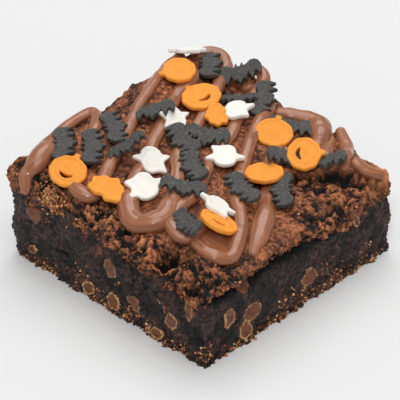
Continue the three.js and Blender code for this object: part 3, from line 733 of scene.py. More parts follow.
def chip_face(colours):
    """Milk chocolate chip cut by the knife: satin brown with a caramelised golden rim."""
    material, tree, shader, coords = new_material("cut_chocolate_chip")
    smear = add(tree, "ShaderNodeTexNoise", {"Scale": per_mm(1.5), "Detail": 4}, {"Vector": coords})
    face = ramp(tree, smear.outputs["Fac"],
                [(0.3, colours.crust_dark), (0.42, colours.chip), (0.7, colours.drizzle)])
    rim = add(tree, "ShaderNodeAttribute", {"attribute_name": "gold"})
    grains = add(tree, "ShaderNodeTexNoise", {"Scale": per_mm(0.7), "Detail": 3}, {"Vector": coords})
    glazed = ramp(tree, grains.outputs["Fac"],
                  [(0.35, colours.crust), (0.5, colours.gold), (0.62, colours.gold_light)])
    mixed = add(tree, "ShaderNodeMix", {"data_type": "RGBA"}, {0: rim.outputs["Fac"], 6: face, 7: glazed})
    tree.links.new(mixed.outputs[2], shader.inputs["Base Color"])
    shader.inputs["Roughness"].default_value = 0.5
    shader.inputs["Specular IOR Level"].default_value = 0.3
    bump = add(tree, "ShaderNodeBump", {"Strength": 0.3, "Distance": 0.2 * MM},
               {"Height": smear.outputs["Fac"]})
    tree.links.new(bump.outputs["Normal"], shader.inputs["Normal"])
    return material


# Geometry Nodes


def new_tree(name, inputs):
    """A geometry tree with named inputs, and its input node."""
    tree = bpy.data.node_groups.new(name, "GeometryNodeTree")
    tree.interface.new_socket("Geometry", in_out="INPUT", socket_type="NodeSocketGeometry")
    tree.interface.new_socket("Geometry", in_out="OUTPUT", socket_type="NodeSocketGeometry")
    for label, kind in inputs.items():
        tree.interface.new_socket(label, in_out="INPUT", socket_type=kind)
    return tree, add(tree, "NodeGroupInput")


def end_tree(tree, start, geometry):
    """Ends a tree in plain geometry with the material that is its input."""
    real = add(tree, "GeometryNodeRealizeInstances", links={"Geometry": geometry})
    skin = add(tree, "GeometryNodeSetMaterial",
               links={"Geometry": real.outputs[0], "Material": start.outputs["Material"]})
    add(tree, "NodeGroupOutput", links={"Geometry": skin.outputs[0]})


def grown(name, source_mesh, tree, values):
    """The plain mesh that a tree makes from a mesh."""
    holder = bpy.data.objects.new(name + "_source", source_mesh)
    bpy.context.scene.collection.objects.link(holder)
    modifier = holder.modifiers.new("grow", "NODES")
    modifier.node_group = tree
    for item in tree.interface.items_tree:
        if item.in_out == "INPUT" and item.name in values:
            modifier[item.identifier] = values[item.name]
    bpy.context.view_layer.update()
    depsgraph = bpy.context.evaluated_depsgraph_get()
    mesh = bpy.data.meshes.new_from_object(holder.evaluated_get(depsgraph), depsgraph=depsgraph)
    bpy.data.objects.remove(holder)
    if not mesh.polygons:
        raise RuntimeError(name + ": the tree made nothing")
    return mesh


def strand_tree():
    """Sweeps a flattened, streaked round section along every strand. A half_width attribute sizes it."""
    tree, start = new_tree("drizzle_strands", {
        "Sides": "NodeSocketInt", "Flatness": "NodeSocketFloat", "Streak": "NodeSocketFloat",
        "Streaks": "NodeSocketFloat", "Material": "NodeSocketMaterial",
    })
    line = add(tree, "GeometryNodeMeshToCurve", links={"Mesh": start.outputs["Geometry"]})
    upright = add(tree, "GeometryNodeSetCurveNormal", {"mode": "Z_UP"}, {"Curve": line.outputs[0]})
    spline = add(tree, "GeometryNodeSplineParameter")
    measured = add(tree, "GeometryNodeStoreNamedAttribute",
                   {"Name": "along", "data_type": "FLOAT", "domain": "POINT"},
                   {"Geometry": upright.outputs[0], "Value": spline.outputs["Length"]})
    circle = add(tree, "GeometryNodeCurvePrimitiveCircle", {"Radius": 1.0},
                 {"Resolution": start.outputs["Sides"]})
    turn = add(tree, "GeometryNodeSplineParameter")
    marked = add(tree, "GeometryNodeStoreNamedAttribute",
                 {"Name": "around", "data_type": "FLOAT", "domain": "POINT"},
                 {"Geometry": circle.outputs[0], "Value": turn.outputs["Factor"]})
    angle = add(tree, "ShaderNodeMath", {"operation": "MULTIPLY", 1: 2 * math.pi},
                {0: turn.outputs["Factor"]})
    waves = add(tree, "ShaderNodeMath", {"operation": "MULTIPLY"},
                {0: angle.outputs[0], 1: start.outputs["Streaks"]})
    ripple = add(tree, "ShaderNodeMath", {"operation": "COSINE"}, {0: waves.outputs[0]})
    depth = add(tree, "ShaderNodeMath", {"operation": "MULTIPLY_ADD", 2: 1.0},
                {0: ripple.outputs[0], 1: start.outputs["Streak"]})
    where = add(tree, "GeometryNodeInputPosition")
    swollen = add(tree, "ShaderNodeVectorMath", {"operation": "SCALE"},
                  {0: where.outputs[0], "Scale": depth.outputs[0]})
    section = add(tree, "GeometryNodeSetPosition",
                  links={"Geometry": marked.outputs[0], "Position": swollen.outputs[0]})
    squash = add(tree, "ShaderNodeCombineXYZ", {0: 1.0, 2: 1.0}, {1: start.outputs["Flatness"]})
    flat = add(tree, "GeometryNodeTransform",
               links={"Geometry": section.outputs[0], "Scale": squash.outputs[0]})
    width = add(tree, "GeometryNodeInputNamedAttribute", {"data_type": "FLOAT", "Name": "half_width"})
    swept = add(tree, "GeometryNodeCurveToMesh", {"Fill Caps": True},
                {"Curve": measured.outputs[0], "Profile Curve": flat.outputs[0], "Scale": width.outputs[0]})
    end_tree(tree, start, swept.outputs[0])
    return tree


def scatter_tree():
    """Scatters small angular crumbs where the attribute named Mask is high, none below the floor."""
    tree, start = new_tree("loose_crumbs", {
        "Density": "NodeSocketFloat", "Smallest": "NodeSocketFloat", "Largest": "NodeSocketFloat",
        "Mask": "NodeSocketString", "Seed": "NodeSocketInt", "Material": "NodeSocketMaterial",
    })
    loose = add(tree, "GeometryNodeInputNamedAttribute", {"data_type": "FLOAT"},
                {"Name": start.outputs["Mask"]})
    density = add(tree, "ShaderNodeMath", {"operation": "MULTIPLY"},
                  {0: loose.outputs[0], 1: start.outputs["Density"]})
    points = add(tree, "GeometryNodeDistributePointsOnFaces", {"distribute_method": "RANDOM"},
                 {"Mesh": start.outputs["Geometry"], "Density": density.outputs[0],
                  "Seed": start.outputs["Seed"]})
    ball = add(tree, "GeometryNodeMeshIcoSphere", {"Radius": 1.0, "Subdivisions": 1})
    spin = add(tree, "FunctionNodeRandomValue",
               {"data_type": "FLOAT_VECTOR", 0: (0, 0, 0), 1: (6.28, 6.28, 6.28)},
               {"Seed": start.outputs["Seed"]})
    chance = add(tree, "FunctionNodeRandomValue", {"data_type": "FLOAT"}, {"Seed": start.outputs["Seed"]})
    small = add(tree, "ShaderNodeMath", {"operation": "POWER", 1: 2.2}, {0: chance.outputs[1]})
    size = add(tree, "ShaderNodeMapRange",
               links={"Value": small.outputs[0], "To Min": start.outputs["Smallest"],
                      "To Max": start.outputs["Largest"]})
    shape = add(tree, "FunctionNodeRandomValue",
                {"data_type": "FLOAT_VECTOR", 0: (0.7, 0.7, 0.55), 1: (1.3, 1.1, 0.9)},
                {"Seed": start.outputs["Seed"]})
    scale = add(tree, "ShaderNodeVectorMath", {"operation": "SCALE"},
                {0: shape.outputs[0], "Scale": size.outputs[0]})
    placed = add(tree, "GeometryNodeInstanceOnPoints",
                 links={"Points": points.outputs["Points"], "Instance": ball.outputs["Mesh"],
                        "Rotation": spin.outputs[0], "Scale": scale.outputs[0]})
    real = add(tree, "GeometryNodeRealizeInstances", links={"Geometry": placed.outputs[0]})
    rough = add(tree, "ShaderNodeTexNoise", {"Scale": per_mm(0.7), "Detail": 1.0})
    centred = add(tree, "ShaderNodeVectorMath", {"operation": "SUBTRACT", 1: (0.5, 0.5, 0.5)},
                  {0: rough.outputs["Color"]})
    nudge = add(tree, "ShaderNodeVectorMath", {"operation": "SCALE"},
                {0: centred.outputs[0], "Scale": start.outputs["Largest"]})
    lumpy = add(tree, "GeometryNodeSetPosition",
                links={"Geometry": real.outputs[0], "Offset": nudge.outputs[0]})
    parts = add(tree, "ShaderNodeSeparateXYZ", links={0: add(tree, "GeometryNodeInputPosition").outputs[0]})
    above = add(tree, "ShaderNodeMath", {"operation": "MAXIMUM", 1: 0.0}, {0: parts.outputs["Z"]})
    clear = add(tree, "ShaderNodeCombineXYZ",
                links={0: parts.outputs["X"], 1: parts.outputs["Y"], 2: above.outputs[0]})
    kept = add(tree, "GeometryNodeSetPosition",
               links={"Geometry": lumpy.outputs[0], "Position": clear.outputs[0]})
    end_tree(tree, start, kept.outputs[0])
    return tree


# The drizzle's course and where the sugar comes to rest


def bed_level(x, y):
    """Height of the crust under a strand, as the mean of five places near it."""
    inside = HALF - BED_MARGIN
    spots = ((0, 0), (BED_SPAN, 0), (-BED_SPAN, 0), (0, BED_SPAN), (0, -BED_SPAN))
    total = 0
    for dx, dy in spots:
        total = total + crust(np.clip(x + dx, -inside, inside), np.clip(y + dy, -inside, inside))
    return total / len(spots)


def samples_along(route, step):
    """Points along a route as a smooth curve: columns x, y, height of the middle, half width."""
    rows = np.array([(*r, 0.0)[:4] if len(r) == 3 else r for r in route], float)
    padded = np.vstack([2 * rows[0] - rows[1], rows, 2 * rows[-1] - rows[-2]])
    found = []
    for i in range(len(rows) - 1):
        p0, p1, p2, p3 = padded[i : i + 4]
        parts = max(1, round(math.hypot(*(p2 - p1)[:2]) / step))
        for k in range(parts):
            t = k / parts
            found.append(curve_point(p0, p1, p2, p3, t))
    x, y, w, lift = np.array(found + [rows[-1]]).T
    return np.column_stack([x, y, bed_level(x, y) + ROPE_REST * w + lift, w])


def rounded_ends(samples, steps=5):
    """Adds a rounded tip to each end of a strand."""
    def tip(inner, end):
        step = (end - inner)[:3] / max(1e-6, math.hypot(*(end - inner)[:2]))
        rows = []
        for k in range(1, steps + 1):
            share = math.sin(math.pi / 2 * k / steps)
            width = end[3] * max(0.04, math.sqrt(max(0.0, 1 - share**2)))
            rows.append([*(end[:3] + step * ROPE_END * end[3] * share), width])
        return rows
    return np.array(tip(samples[1], samples[0])[::-1] + samples.tolist() + tip(samples[-2], samples[-1]))


def cell_axis():
    return np.arange(MAP_SIZE) * MAP_STEP - MAP_REACH


def height_map():
    """Heights of the crust and the drizzle on a square grid of cells."""
    axis = cell_axis()
    gx, gy = np.meshgrid(axis, axis, indexing="ij")
    cells = np.where(np.maximum(np.abs(gx), np.abs(gy)) <= HALF, crust(gx, gy), 0.0)
    for route in DRIZZLE.values():
        for x, y, z, w in samples_along(route, MAP_STEP):
            room = w * w - (gx - x) ** 2 - (gy - y) ** 2
            near = room > 0
            cells[near] = np.maximum(cells[near], z + ROPE_FLATNESS * np.sqrt(room[near]))
    return gx, gy, cells


def tilt(turn, lean, heading):
    """Turn about the vertical, then lean the face towards a heading."""
    a = math.radians(heading)
    axis = Vector((-math.sin(a), math.cos(a), 0))
    turned = Matrix.Rotation(math.radians(lean), 3, axis) @ Matrix.Rotation(math.radians(turn), 3, "Z")
    return np.array(turned)


def resting_places(thickness):
    """Where each sugar shape lies: kind, turning matrix, middle and size."""
    gx, gy, cells = height_map()
    placed = []
    for kind, x, y, turn, lean, heading, size in SUGAR:
        family = kind if kind in FOOTPRINT else "pumpkin"
        matrix = tilt(turn, lean, heading)
        right, up, face = matrix.T
        a, b = (half * size for half in FOOTPRINT[family])
        dx, dy = gx - x, gy - y
        dz = -(face[0] * dx + face[1] * dy) / face[2]
        p = (dx * right[0] + dy * right[1] + dz * right[2]) / a
        q = (dx * up[0] + dy * up[1] + dz * up[2]) / b
        covered = p * p + q * q < 1
        lift = thickness / 2 / face[2]
        needed = np.sort((cells - dz + lift)[covered & (cells > BLOCK_FLOOR)])
        z = needed[int(PRESS * len(needed))] - SINK
        cells[covered] = np.maximum(cells[covered], (z + dz + lift)[covered])
        placed.append((kind, matrix, np.array([x, y, z]), size))
    return placed


# Sugar shapes


def mirrored(half):
    return list(half) + [(-x, y) for x, y in reversed(half[1:-1])]


def rounded_loop(points, parts):
    """A closed smooth loop through the points."""
    p = np.array(points, float)
    loop = []
    for i in range(len(p)):
        p0, p1, p2, p3 = (p[(i + k - 1) % len(p)] for k in range(4))
        for k in range(parts):
            t = k / parts
            loop.append(curve_point(p0, p1, p2, p3, t))
    return np.array(loop)


def pumpkin_loop(notched=False, stem=True):
    points = []
    for k in range(1, PUMPKIN["sides"]):
        a = math.pi / 2 - 2 * math.pi * k / PUMPKIN["sides"]
        r = 1 + PUMPKIN["lobe"] * math.cos(PUMPKIN["lobes"] * a)
        if notched:
            ripple = sum(deep * math.cos(waves * a + phase) for waves, deep, phase in CHIPPED)
            r *= CHIPPED_SIZE * (1 + ripple)
        points.append((PUMPKIN["across"] * r * math.cos(a), PUMPKIN["high"] * r * math.sin(a)))
    if notched or not stem:
        return np.array(points)
    tip = PUMPKIN["high"] + STEM["high"]
    points = [p for p in points if not (abs(p[0]) < STEM["foot"] and p[1] > 0)]
    points += [(-STEM["foot"], PUMPKIN["high"]), (STEM["lean"] - STEM["top"], tip),
               (STEM["lean"] + STEM["top"], tip), (STEM["foot"], PUMPKIN["high"])]
    return np.array(points)


def smile_loop(parts=14):
    """A crescent slot: the outer curve, then the inner one back."""
    s = np.linspace(-1, 1, parts)
    outer = np.column_stack([SMILE["across"] * s, SMILE["drop"] - SMILE["deep"] * (1 - s**2)])
    shallow = SMILE["deep"] - SMILE["thin"]
    inner = np.column_stack([SMILE["across"] * s, SMILE["drop"] - shallow * (1 - s**2)])
    return np.vstack([outer, inner[::-1][1:-1]])


def slot_cutter(loop, reach):
    """A prism on the slot's outline, reaching that far above and below."""
    count = len(loop)
    points = [(x, y, z) for z in (-reach, reach) for x, y in loop.tolist()]
    sides = [(i, (i + 1) % count, count + (i + 1) % count, count + i) for i in range(count)]
    ends = [tuple(range(count))[::-1], tuple(range(count, 2 * count))]
    mesh = bpy.data.meshes.new("slot")
    mesh.from_pydata(points, [], sides + ends)
    holder = bpy.data.objects.new("slot", mesh)
    bpy.context.scene.collection.objects.link(holder)
    return holder


def distance_to_loop(points, loop):
    """Distance in plan from each point to a closed loop."""
    best = np.full(len(points), 1e9)
    for a, b in zip(loop, np.roll(loop, -1, axis=0)):
        d = b - a
        t = np.clip(((points - a) @ d) / max(1e-12, d @ d), 0, 1)
        best = np.minimum(best, np.hypot(*(points - a - t[:, None] * d).T))
    return best


def sugar_template(kind, thickness, rounding):
    """One pressed shape, flat, in mm: its points and faces. Its faces dish slightly inside a raised rim."""
    outline = {
        "bat": BAT_SIZE * np.array(mirrored(BAT)),
        "ghost": rounded_loop(GHOST, 3),
        "pumpkin": pumpkin_loop(),
        "smiling": pumpkin_loop(),
        "notched": pumpkin_loop(notched=True),
        "plain": pumpkin_loop(stem=False),
    }[kind]
    if kind == "bat":
        rounding *= BAT_EDGE
    curve = bpy.data.curves.new(kind, "CURVE")
    curve.dimensions = "2D"
    curve.fill_mode = "BOTH"
    curve.extrude = thickness / 2 - rounding
    curve.bevel_depth = rounding
    curve.bevel_resolution = 2
    curve.offset = -rounding
    spline = curve.splines.new("POLY")
    count = len(outline)
    spline.points.add(count - 1)
    spline.points.foreach_set("co", np.column_stack([outline, np.zeros(count), np.ones(count)]).ravel())
    spline.use_cyclic_u = True
    holder = bpy.data.objects.new(kind, curve)
    bpy.context.scene.collection.objects.link(holder)
    bpy.context.view_layer.update()
    mesh = bpy.data.meshes.new_from_object(holder)
    bpy.data.objects.remove(holder)
    shape = bmesh.new()
    shape.from_mesh(mesh)
    bmesh.ops.remove_doubles(shape, verts=shape.verts, dist=1e-4)
    bmesh.ops.recalc_face_normals(shape, faces=shape.faces)
    shape.to_mesh(mesh)
    shape.free()
    solid = bpy.data.objects.new(kind, mesh)
    bpy.context.scene.collection.objects.link(solid)
    cutter = slot_cutter(smile_loop(), thickness) if kind == "smiling" else None
    if cutter:
        cut = solid.modifiers.new("slot", "BOOLEAN")
        cut.operation = "DIFFERENCE"
        cut.object = cutter
    even = solid.modifiers.new("even", "REMESH")
    even.mode = "VOXEL"
    even.voxel_size = BAT_VOXEL if kind == "bat" else SUGAR_VOXEL
    soften = solid.modifiers.new("soften", "SMOOTH")
    soften.factor = 0.5
    soften.iterations = 1 if kind == "bat" else 2
    bpy.context.view_layer.update()
    depsgraph = bpy.context.evaluated_depsgraph_get()
    made = bpy.data.meshes.new_from_object(solid.evaluated_get(depsgraph), depsgraph=depsgraph)
    bpy.data.objects.remove(solid)
    if cutter:
        bpy.data.objects.remove(cutter)
    points = np.empty(len(made.vertices) * 3, np.float32)
    made.vertices.foreach_get("co", points)
    points = points.reshape(-1, 3).astype(float)
    inside = distance_to_loop(points[:, :2], outline)
    dish = BAT_DISH if kind == "bat" else DISH
    points[:, 2] *= 1 - dish * smooth((inside - DISH_RIM) / 0.5)
    if kind == "smiling":
        points[:, 2] *= 1 + FACE_RISE * smooth((inside - RISE_RIM) / 0.5)
    faces = [tuple(p.vertices) for p in made.polygons]
    return points, faces


# Operators


class BROWNIE_OT_crumb(bpy.types.Operator):
    """Build the block of crumb with its torn, pitted sides and crumbly foot"""

    bl_idname = "brownie.crumb"
    bl_label = "Crumb"

    def execute(self, context):
        sizes, colours = context.scene.brownie_sizes, context.scene.brownie_colours
        u, v = perimeter(BLOCK_COLUMNS)
        x0, y0 = plan_point(u, v)
        facing = facing_out(u, v)
        rim = crust(x0, y0) + rubble(x0, y0)
        levels = np.linspace(0, CRUMB_TOP, CRUMB_ROWS)
        rings = []
        for t in levels:
            out = wall_relief(x0, y0, t)
            rings.append(np.column_stack([x0 + out * facing[:, 0], y0 + out * facing[:, 1], t * rim]))
        wall = np.vstack(rings)
        outward = np.tile(facing, (CRUMB_ROWS, 1))
        relief, gaps = self.relief(wall, sizes)
        crease = np.exp(-(((np.repeat(levels, len(x0)) - 0.85) / 0.055) ** 2))
        under = crease * overhang(wall[:, 0], wall[:, 1])
        relief -= 1.1 * under
        wall[:, :2] += relief[:, None] * outward
        wall[:, 2] = np.maximum(0, wall[:, 2])
        inset = CRUMB_TUCK["plan"]
        tuck = np.column_stack([inset * x0, inset * y0, CRUMB_TUCK["height"] * rim])
        points = np.vstack([wall, tuck, [[0, 0, CRUMB_TUCK["middle"]]], [[0, 0, 0]]])
        around = 4 * BLOCK_COLUMNS
        faces = ring_faces(CRUMB_ROWS + 1, around)
        top, base = len(points) - 2, len(points) - 1
        last = CRUMB_ROWS * around
        faces += [(last + i, last + (i + 1) % around, top) for i in range(around)]
        faces += [((i + 1) % around, i, base) for i in range(around)]
        extra = np.zeros(around + 2)
        gold = np.concatenate([gold_mask(wall), extra])
        foot = np.exp(-((wall[:, 2] / 1.8) ** 2))
        loose = np.concatenate([np.clip(0.10 + foot + 0.6 * gold[: len(wall)], 0, 1), extra])
        # Painted shade, kept as an attribute: sunken places, gaps between lumps and the crease under the
        # crust's lip
        deep = np.concatenate([np.clip(smooth(0.1 - 1.1 * relief) + gaps + 0.8 * under, 0, 1), extra])
        attributes = {"gold": gold, "loose": loose, "crack": deep}
        make_piece("brownie_crumb", points, faces, fudge_crumb(colours), attributes)
        return {"FINISHED"}

    def relief(self, wall, sizes):
        """Torn lumps, air pits, fine grain and hollows, in mm out of the side.
        Also how deep in a gap between lumps each point is."""
        x, y, z = wall.T
        size = sizes.crumb_relief / MM
        torn, gaps = crags(wall, 2.4, 7)
        small, slits = crags(wall, 1.1, 8)
        lumps = 0.7 * soft_noise(wall, 5.0, 6, 1) + 0.45 * torn + 0.3 * small - 0.5 * gaps - 0.35 * slits
        near = nearest_cell(wall, 1.9, 2)
        pitted = smooth(0.3 + 1.2 * soft_noise(wall, 9.0, 2, 3))
        pits = -sizes.pit_depth / MM * pitted * smooth((0.36 - near) / 0.2)
        grain = 0.16 * soft_noise(wall, 0.8, 3, 4)
        foot = np.exp(-((z / 2.4) ** 2)) * (0.6 * small - 0.4 * slits)
        relief = size * lumps + pits + grain + foot
        ragged = 0.45 * soft_noise(wall, 1.4, 3, 9)
        for side, along, height, wide, high, turn, _ in CHIPS:
            covered = spot_weight(x, y, z, side, along, height, CHIP_SPREAD * wide, CHIP_SPREAD * high, turn)
            sunk = smooth((0.85 + ragged - covered) / 0.3)
            relief = relief * (1 - sunk) - CHIP_BED * sunk
        for side, along, height, wide, high, depth in HOLLOWS:
            relief -= depth * np.exp(-spot_weight(x, y, z, side, along, height, wide, high))
        return relief, 0.5 * gaps + 0.35 * slits


class BROWNIE_OT_crust(bpy.types.Operator):
    """Build the thin baked crust with its cracked rubble and its ragged rim"""

    bl_idname = "brownie.crust"
    bl_label = "Crust"

    def execute(self, context):
        sizes, colours = context.scene.brownie_sizes, context.scene.brownie_colours
        n = BLOCK_COLUMNS
        s = 2 * np.arange(n + 1) / n - 1
        gu, gv = np.meshgrid(s, s, indexing="ij")
        gx, gy = plan_point(gu.ravel(), gv.ravel())
        level = crust(gx, gy) + rubble(gx, gy)
        flat = np.column_stack([gx, gy, level])
        relief, crack, lit = self.relief(flat, sizes)
        relief += self.bank(gx, gy, level)
        jag = self.jag(gx, gy)
        pull = jag * np.exp(-edge_distance(gx, gy) / 2.0)
        top = flat + np.column_stack([facing_out(gu.ravel(), gv.ravel()) * pull[:, None], relief])
        index = np.arange((n + 1) ** 2).reshape(n + 1, n + 1)
        quads = [index[:-1, :-1], index[1:, :-1], index[1:, 1:], index[:-1, 1:]]
        faces = np.stack(quads, -1).reshape(-1, 4).tolist()
        rim = np.concatenate([index[:n, 0], index[n, :n], index[n:0:-1, n], index[0, n:0:-1]])
        around = len(rim)
        u, v = perimeter(n)
        x0, y0 = plan_point(u, v)
        facing = facing_out(u, v)
        height = crust(x0, y0) + rubble(x0, y0)
        rings, skirt_crack_shade, skirt_lit = [], [], []
        edge_line = np.column_stack([x0, y0, 0 * x0])
        uneven = 1 + 0.7 * soft_noise(edge_line, 9, 3, 21) + 0.5 * soft_noise(edge_line, 2.5, 3, 25)
        reach = np.clip(sizes.crust_reach * uneven, 0.06, 0.45) * (1 - 0.62 * overhang(x0, y0))
        drop0 = relief[rim]
        jag0 = jag[rim]
        for k in range(1, CRUST_ROWS + 1):
            share = k / CRUST_ROWS
            t = 1 - reach * share
            out = wall_relief(x0, y0, t)
            ring = np.column_stack([x0, y0, t * height + drop0 * (1 - share) ** 3])
            level, gap = crags(ring, 2.2, 22)
            small, slit = crags(ring, 1.0, 23)
            rough = smooth(share * 5) * (0.8 * level - 0.7 * gap + 0.4 * small - 0.3 * slit)
            # Painted shade in the skirt's gaps, and a painted highlight on its raised lumps
            skirt_crack_shade.append(0.8 * gap + 0.5 * slit)
            skirt_lit.append(smooth(0.3 + 0.7 * level))
            over = out + jag0 * (1 - share) + rough + 0.45 * smooth(share * 6)
            over = over - 1.9 * smooth((share - 0.5) / 0.5)
            ring[:, :2] += over[:, None] * facing
            rings.append(ring)
        base = len(top)
        skirt = np.vstack(rings)
        inset = CRUST_TUCK["plan"]
        tuck = np.column_stack([inset * x0, inset * y0, CRUST_TUCK["height"] * height])
        middle = base + len(skirt) + around
        points = np.vstack([top, skirt, tuck, [[0, 0, CRUST_TUCK["middle"]]]])
        for k in range(CRUST_ROWS + 1):
            high = rim if k == 0 else base + (k - 1) * around + np.arange(around)
            low = base + k * around + np.arange(around)
            faces += np.stack([low, np.roll(low, -1), np.roll(high, -1), high], -1).tolist()
        low = base + CRUST_ROWS * around + np.arange(around)
        faces += np.stack([np.roll(low, -1), low, np.full(around, middle)], -1).tolist()
        hidden = np.zeros(around + 1)
        gold = np.concatenate([self.top_gold(top), gold_mask(skirt), hidden])
        crack_shades = np.concatenate([crack, np.clip(np.concatenate(skirt_crack_shade), 0, 1), hidden])
        rough_place = self.broken(top[:, 0], top[:, 1])
        loose = np.concatenate([0.03 + 0.5 * rough_place, np.full(len(skirt), 0.5), hidden])
        lits = np.concatenate([lit, 0.8 * np.concatenate(skirt_lit), hidden])
        attributes = {"gold": gold, "crack": crack_shades, "loose": loose, "lit": lits}
        make_piece("brownie_crust", points, faces, baked_crust(colours), attributes)
        return {"FINISHED"}

    def bank(self, x, y, level):
        """How far the crust swells to meet the strands that lie over the two far rims, in mm."""
        rise = np.zeros_like(level)
        for name, route in DRIZZLE.items():
            for sx, sy, sz, w in samples_along(route, 2 * DRIZZLE_STEP):
                if name != PRESSED and min(sx + HALF, HALF - sy) < BANK["rim"]:
                    near = smooth((BANK["reach"] - np.hypot(x - sx, y - sy)) / BANK["fade"])
                    rise = np.maximum(rise, near * (sz - BANK["under"] * w - level))
        return np.minimum(rise, BANK["most"])

    def jag(self, x, y):
        """How far the rim stands out or is broken back, in mm: most on the two near sides."""
        flat = np.column_stack([x, y, 0 * x])
        near = 0.45 + 0.55 * smooth((x - y + 6) / 12)
        return near * (1.1 * soft_noise(flat, 6.5, 3, 51) + 0.5 * soft_noise(flat, 2.0, 3, 52) - 0.15)

    def broken(self, x, y):
        """Where the crust is broken to rubble: along the near rims, at the corners and under the flap."""
        left_rim = smooth((9.5 - (y + HALF)) / 4.5)
        right_rim = smooth((4.0 - (HALF - x)) / 3) * (1 - 0.7 * overhang(x, y))
        front = smooth((17 - np.hypot(x - HALF, y + HALF)) / 6)
        right = smooth((12 - np.hypot(x - HALF, y - HALF)) / 6)
        shelf = smooth(ahead_of_flap(x, y) / 1.5) * smooth((y - 1) / 8)
        far_rim = smooth((3.5 - (x + HALF)) / 3)
        back_rim = smooth((2.5 - (HALF - y)) / 2.5)
        patches = 0.2 * smooth(0.35 + 1.4 * soft_noise(np.column_stack([x, y, 0 * x]), 9.0, 3, 53))
        zones = [patches, left_rim, 0.8 * right_rim, front, right, 0.8 * shelf, 0.4 * far_rim, 0.4 * back_rim]
        return np.clip(np.max(zones, axis=0), 0, 1)

    def relief(self, flat, sizes):
        """Rubble where the crust is broken, wrinkles elsewhere and torn hollows, in mm.
        Also the painted shade in its cracks, hollows and low places, and the painted highlight where a flake
        stands up to the light, along the flap's lip and over the right corner."""
        x, y, _ = flat.T
        broken = self.broken(x, y)
        chunk, gaps = crags(flat, 4.8, 31)
        flake, seams = crags(flat, 1.9, 32)
        grit, slits = crags(flat, 0.95, 36)
        ragged = soft_noise(flat, 1.4, 5, 38)
        # Lumps run together in places, so that no even net of gaps shows
        parted = smooth(0.4 + 1.8 * soft_noise(flat, 4.5, 3, 39))
        gaps, seams, slits = gaps * (0.35 + 0.65 * parted), seams * parted, slits * parted
        size = sizes.crust_relief / MM
        rough = 1.1 * chunk - 1.3 * gaps + 0.28 * flake - 0.28 * seams + 0.5 * ragged
        wrinkles = 0.22 * soft_noise(flat, 3.2, 6, 33) + 0.07 * soft_noise(flat, 0.7, 2, 34)
        fine = (0.3 + 0.7 * broken) * (0.17 * grit - 0.18 * slits)
        relief = size * (broken * rough + fine) + wrinkles
        # Painted shade in gaps, seams, slits and low places
        crack = np.sqrt(broken) * (1.1 * gaps + 0.65 * seams + smooth(0.14 - 2.6 * ragged))
        crack = crack + (0.3 + 0.3 * broken) * slits
        crack = crack + 0.55 * smooth(-3 * wrinkles) + 0.8 * broken * smooth(-1.2 * chunk - 0.15)
        for cx, cy, radius, depth in TORN:
            hole = smooth((radius - np.hypot(x - cx, y - cy) + 0.9 * wrinkles + 0.4 * flake) / 1.5)
            relief = relief * (1 - 0.8 * hole) - depth * hole
            # Painted shade in the torn hollow
            crack = crack + hole
        ahead = ahead_of_flap(x, y)
        along_flap = smooth((y - 9) / 5) * smooth((31 - y) / 4)
        patchy = smooth(0.6 + 1.6 * soft_noise(flat, 3.5, 3, 37))
        gap = np.exp(-(((ahead - GAP["ahead"]) / GAP["half"]) ** 2)) * along_flap * patchy
        relief = relief * (1 - 0.7 * gap) - GAP["depth"] * gap
        # Painted shade in the gap under the flap
        crack = crack + gap
        # Painted highlight along the flap's lip and over the right corner, where the painted shade is also
        # weaker
        lip = np.exp(-(((ahead + 0.4) / 0.9) ** 2)) * along_flap
        corner = smooth((13 - np.hypot(x - HALF, y - HALF + 1)) / 8)
        raised = np.sqrt(broken) * (chunk + 0.45 * flake + 0.7 * ragged)
        lit = smooth(0.02 + raised + 2.2 * wrinkles + 0.5 * lip + 0.8 * corner)
        crack = crack * (1 - 0.75 * corner)
        return relief, np.clip(crack, 0, 1), lit

    def top_gold(self, top):
        """Tan toffee crumbs along the near left rim."""
        x, y, _ = top.T
        near = smooth((6.5 - np.abs(x + 23)) / 3) * smooth((5.0 - (y + HALF)) / 2.5)
        return near * smooth(0.75 + 1.5 * soft_noise(top, 1.3, 3, 35))


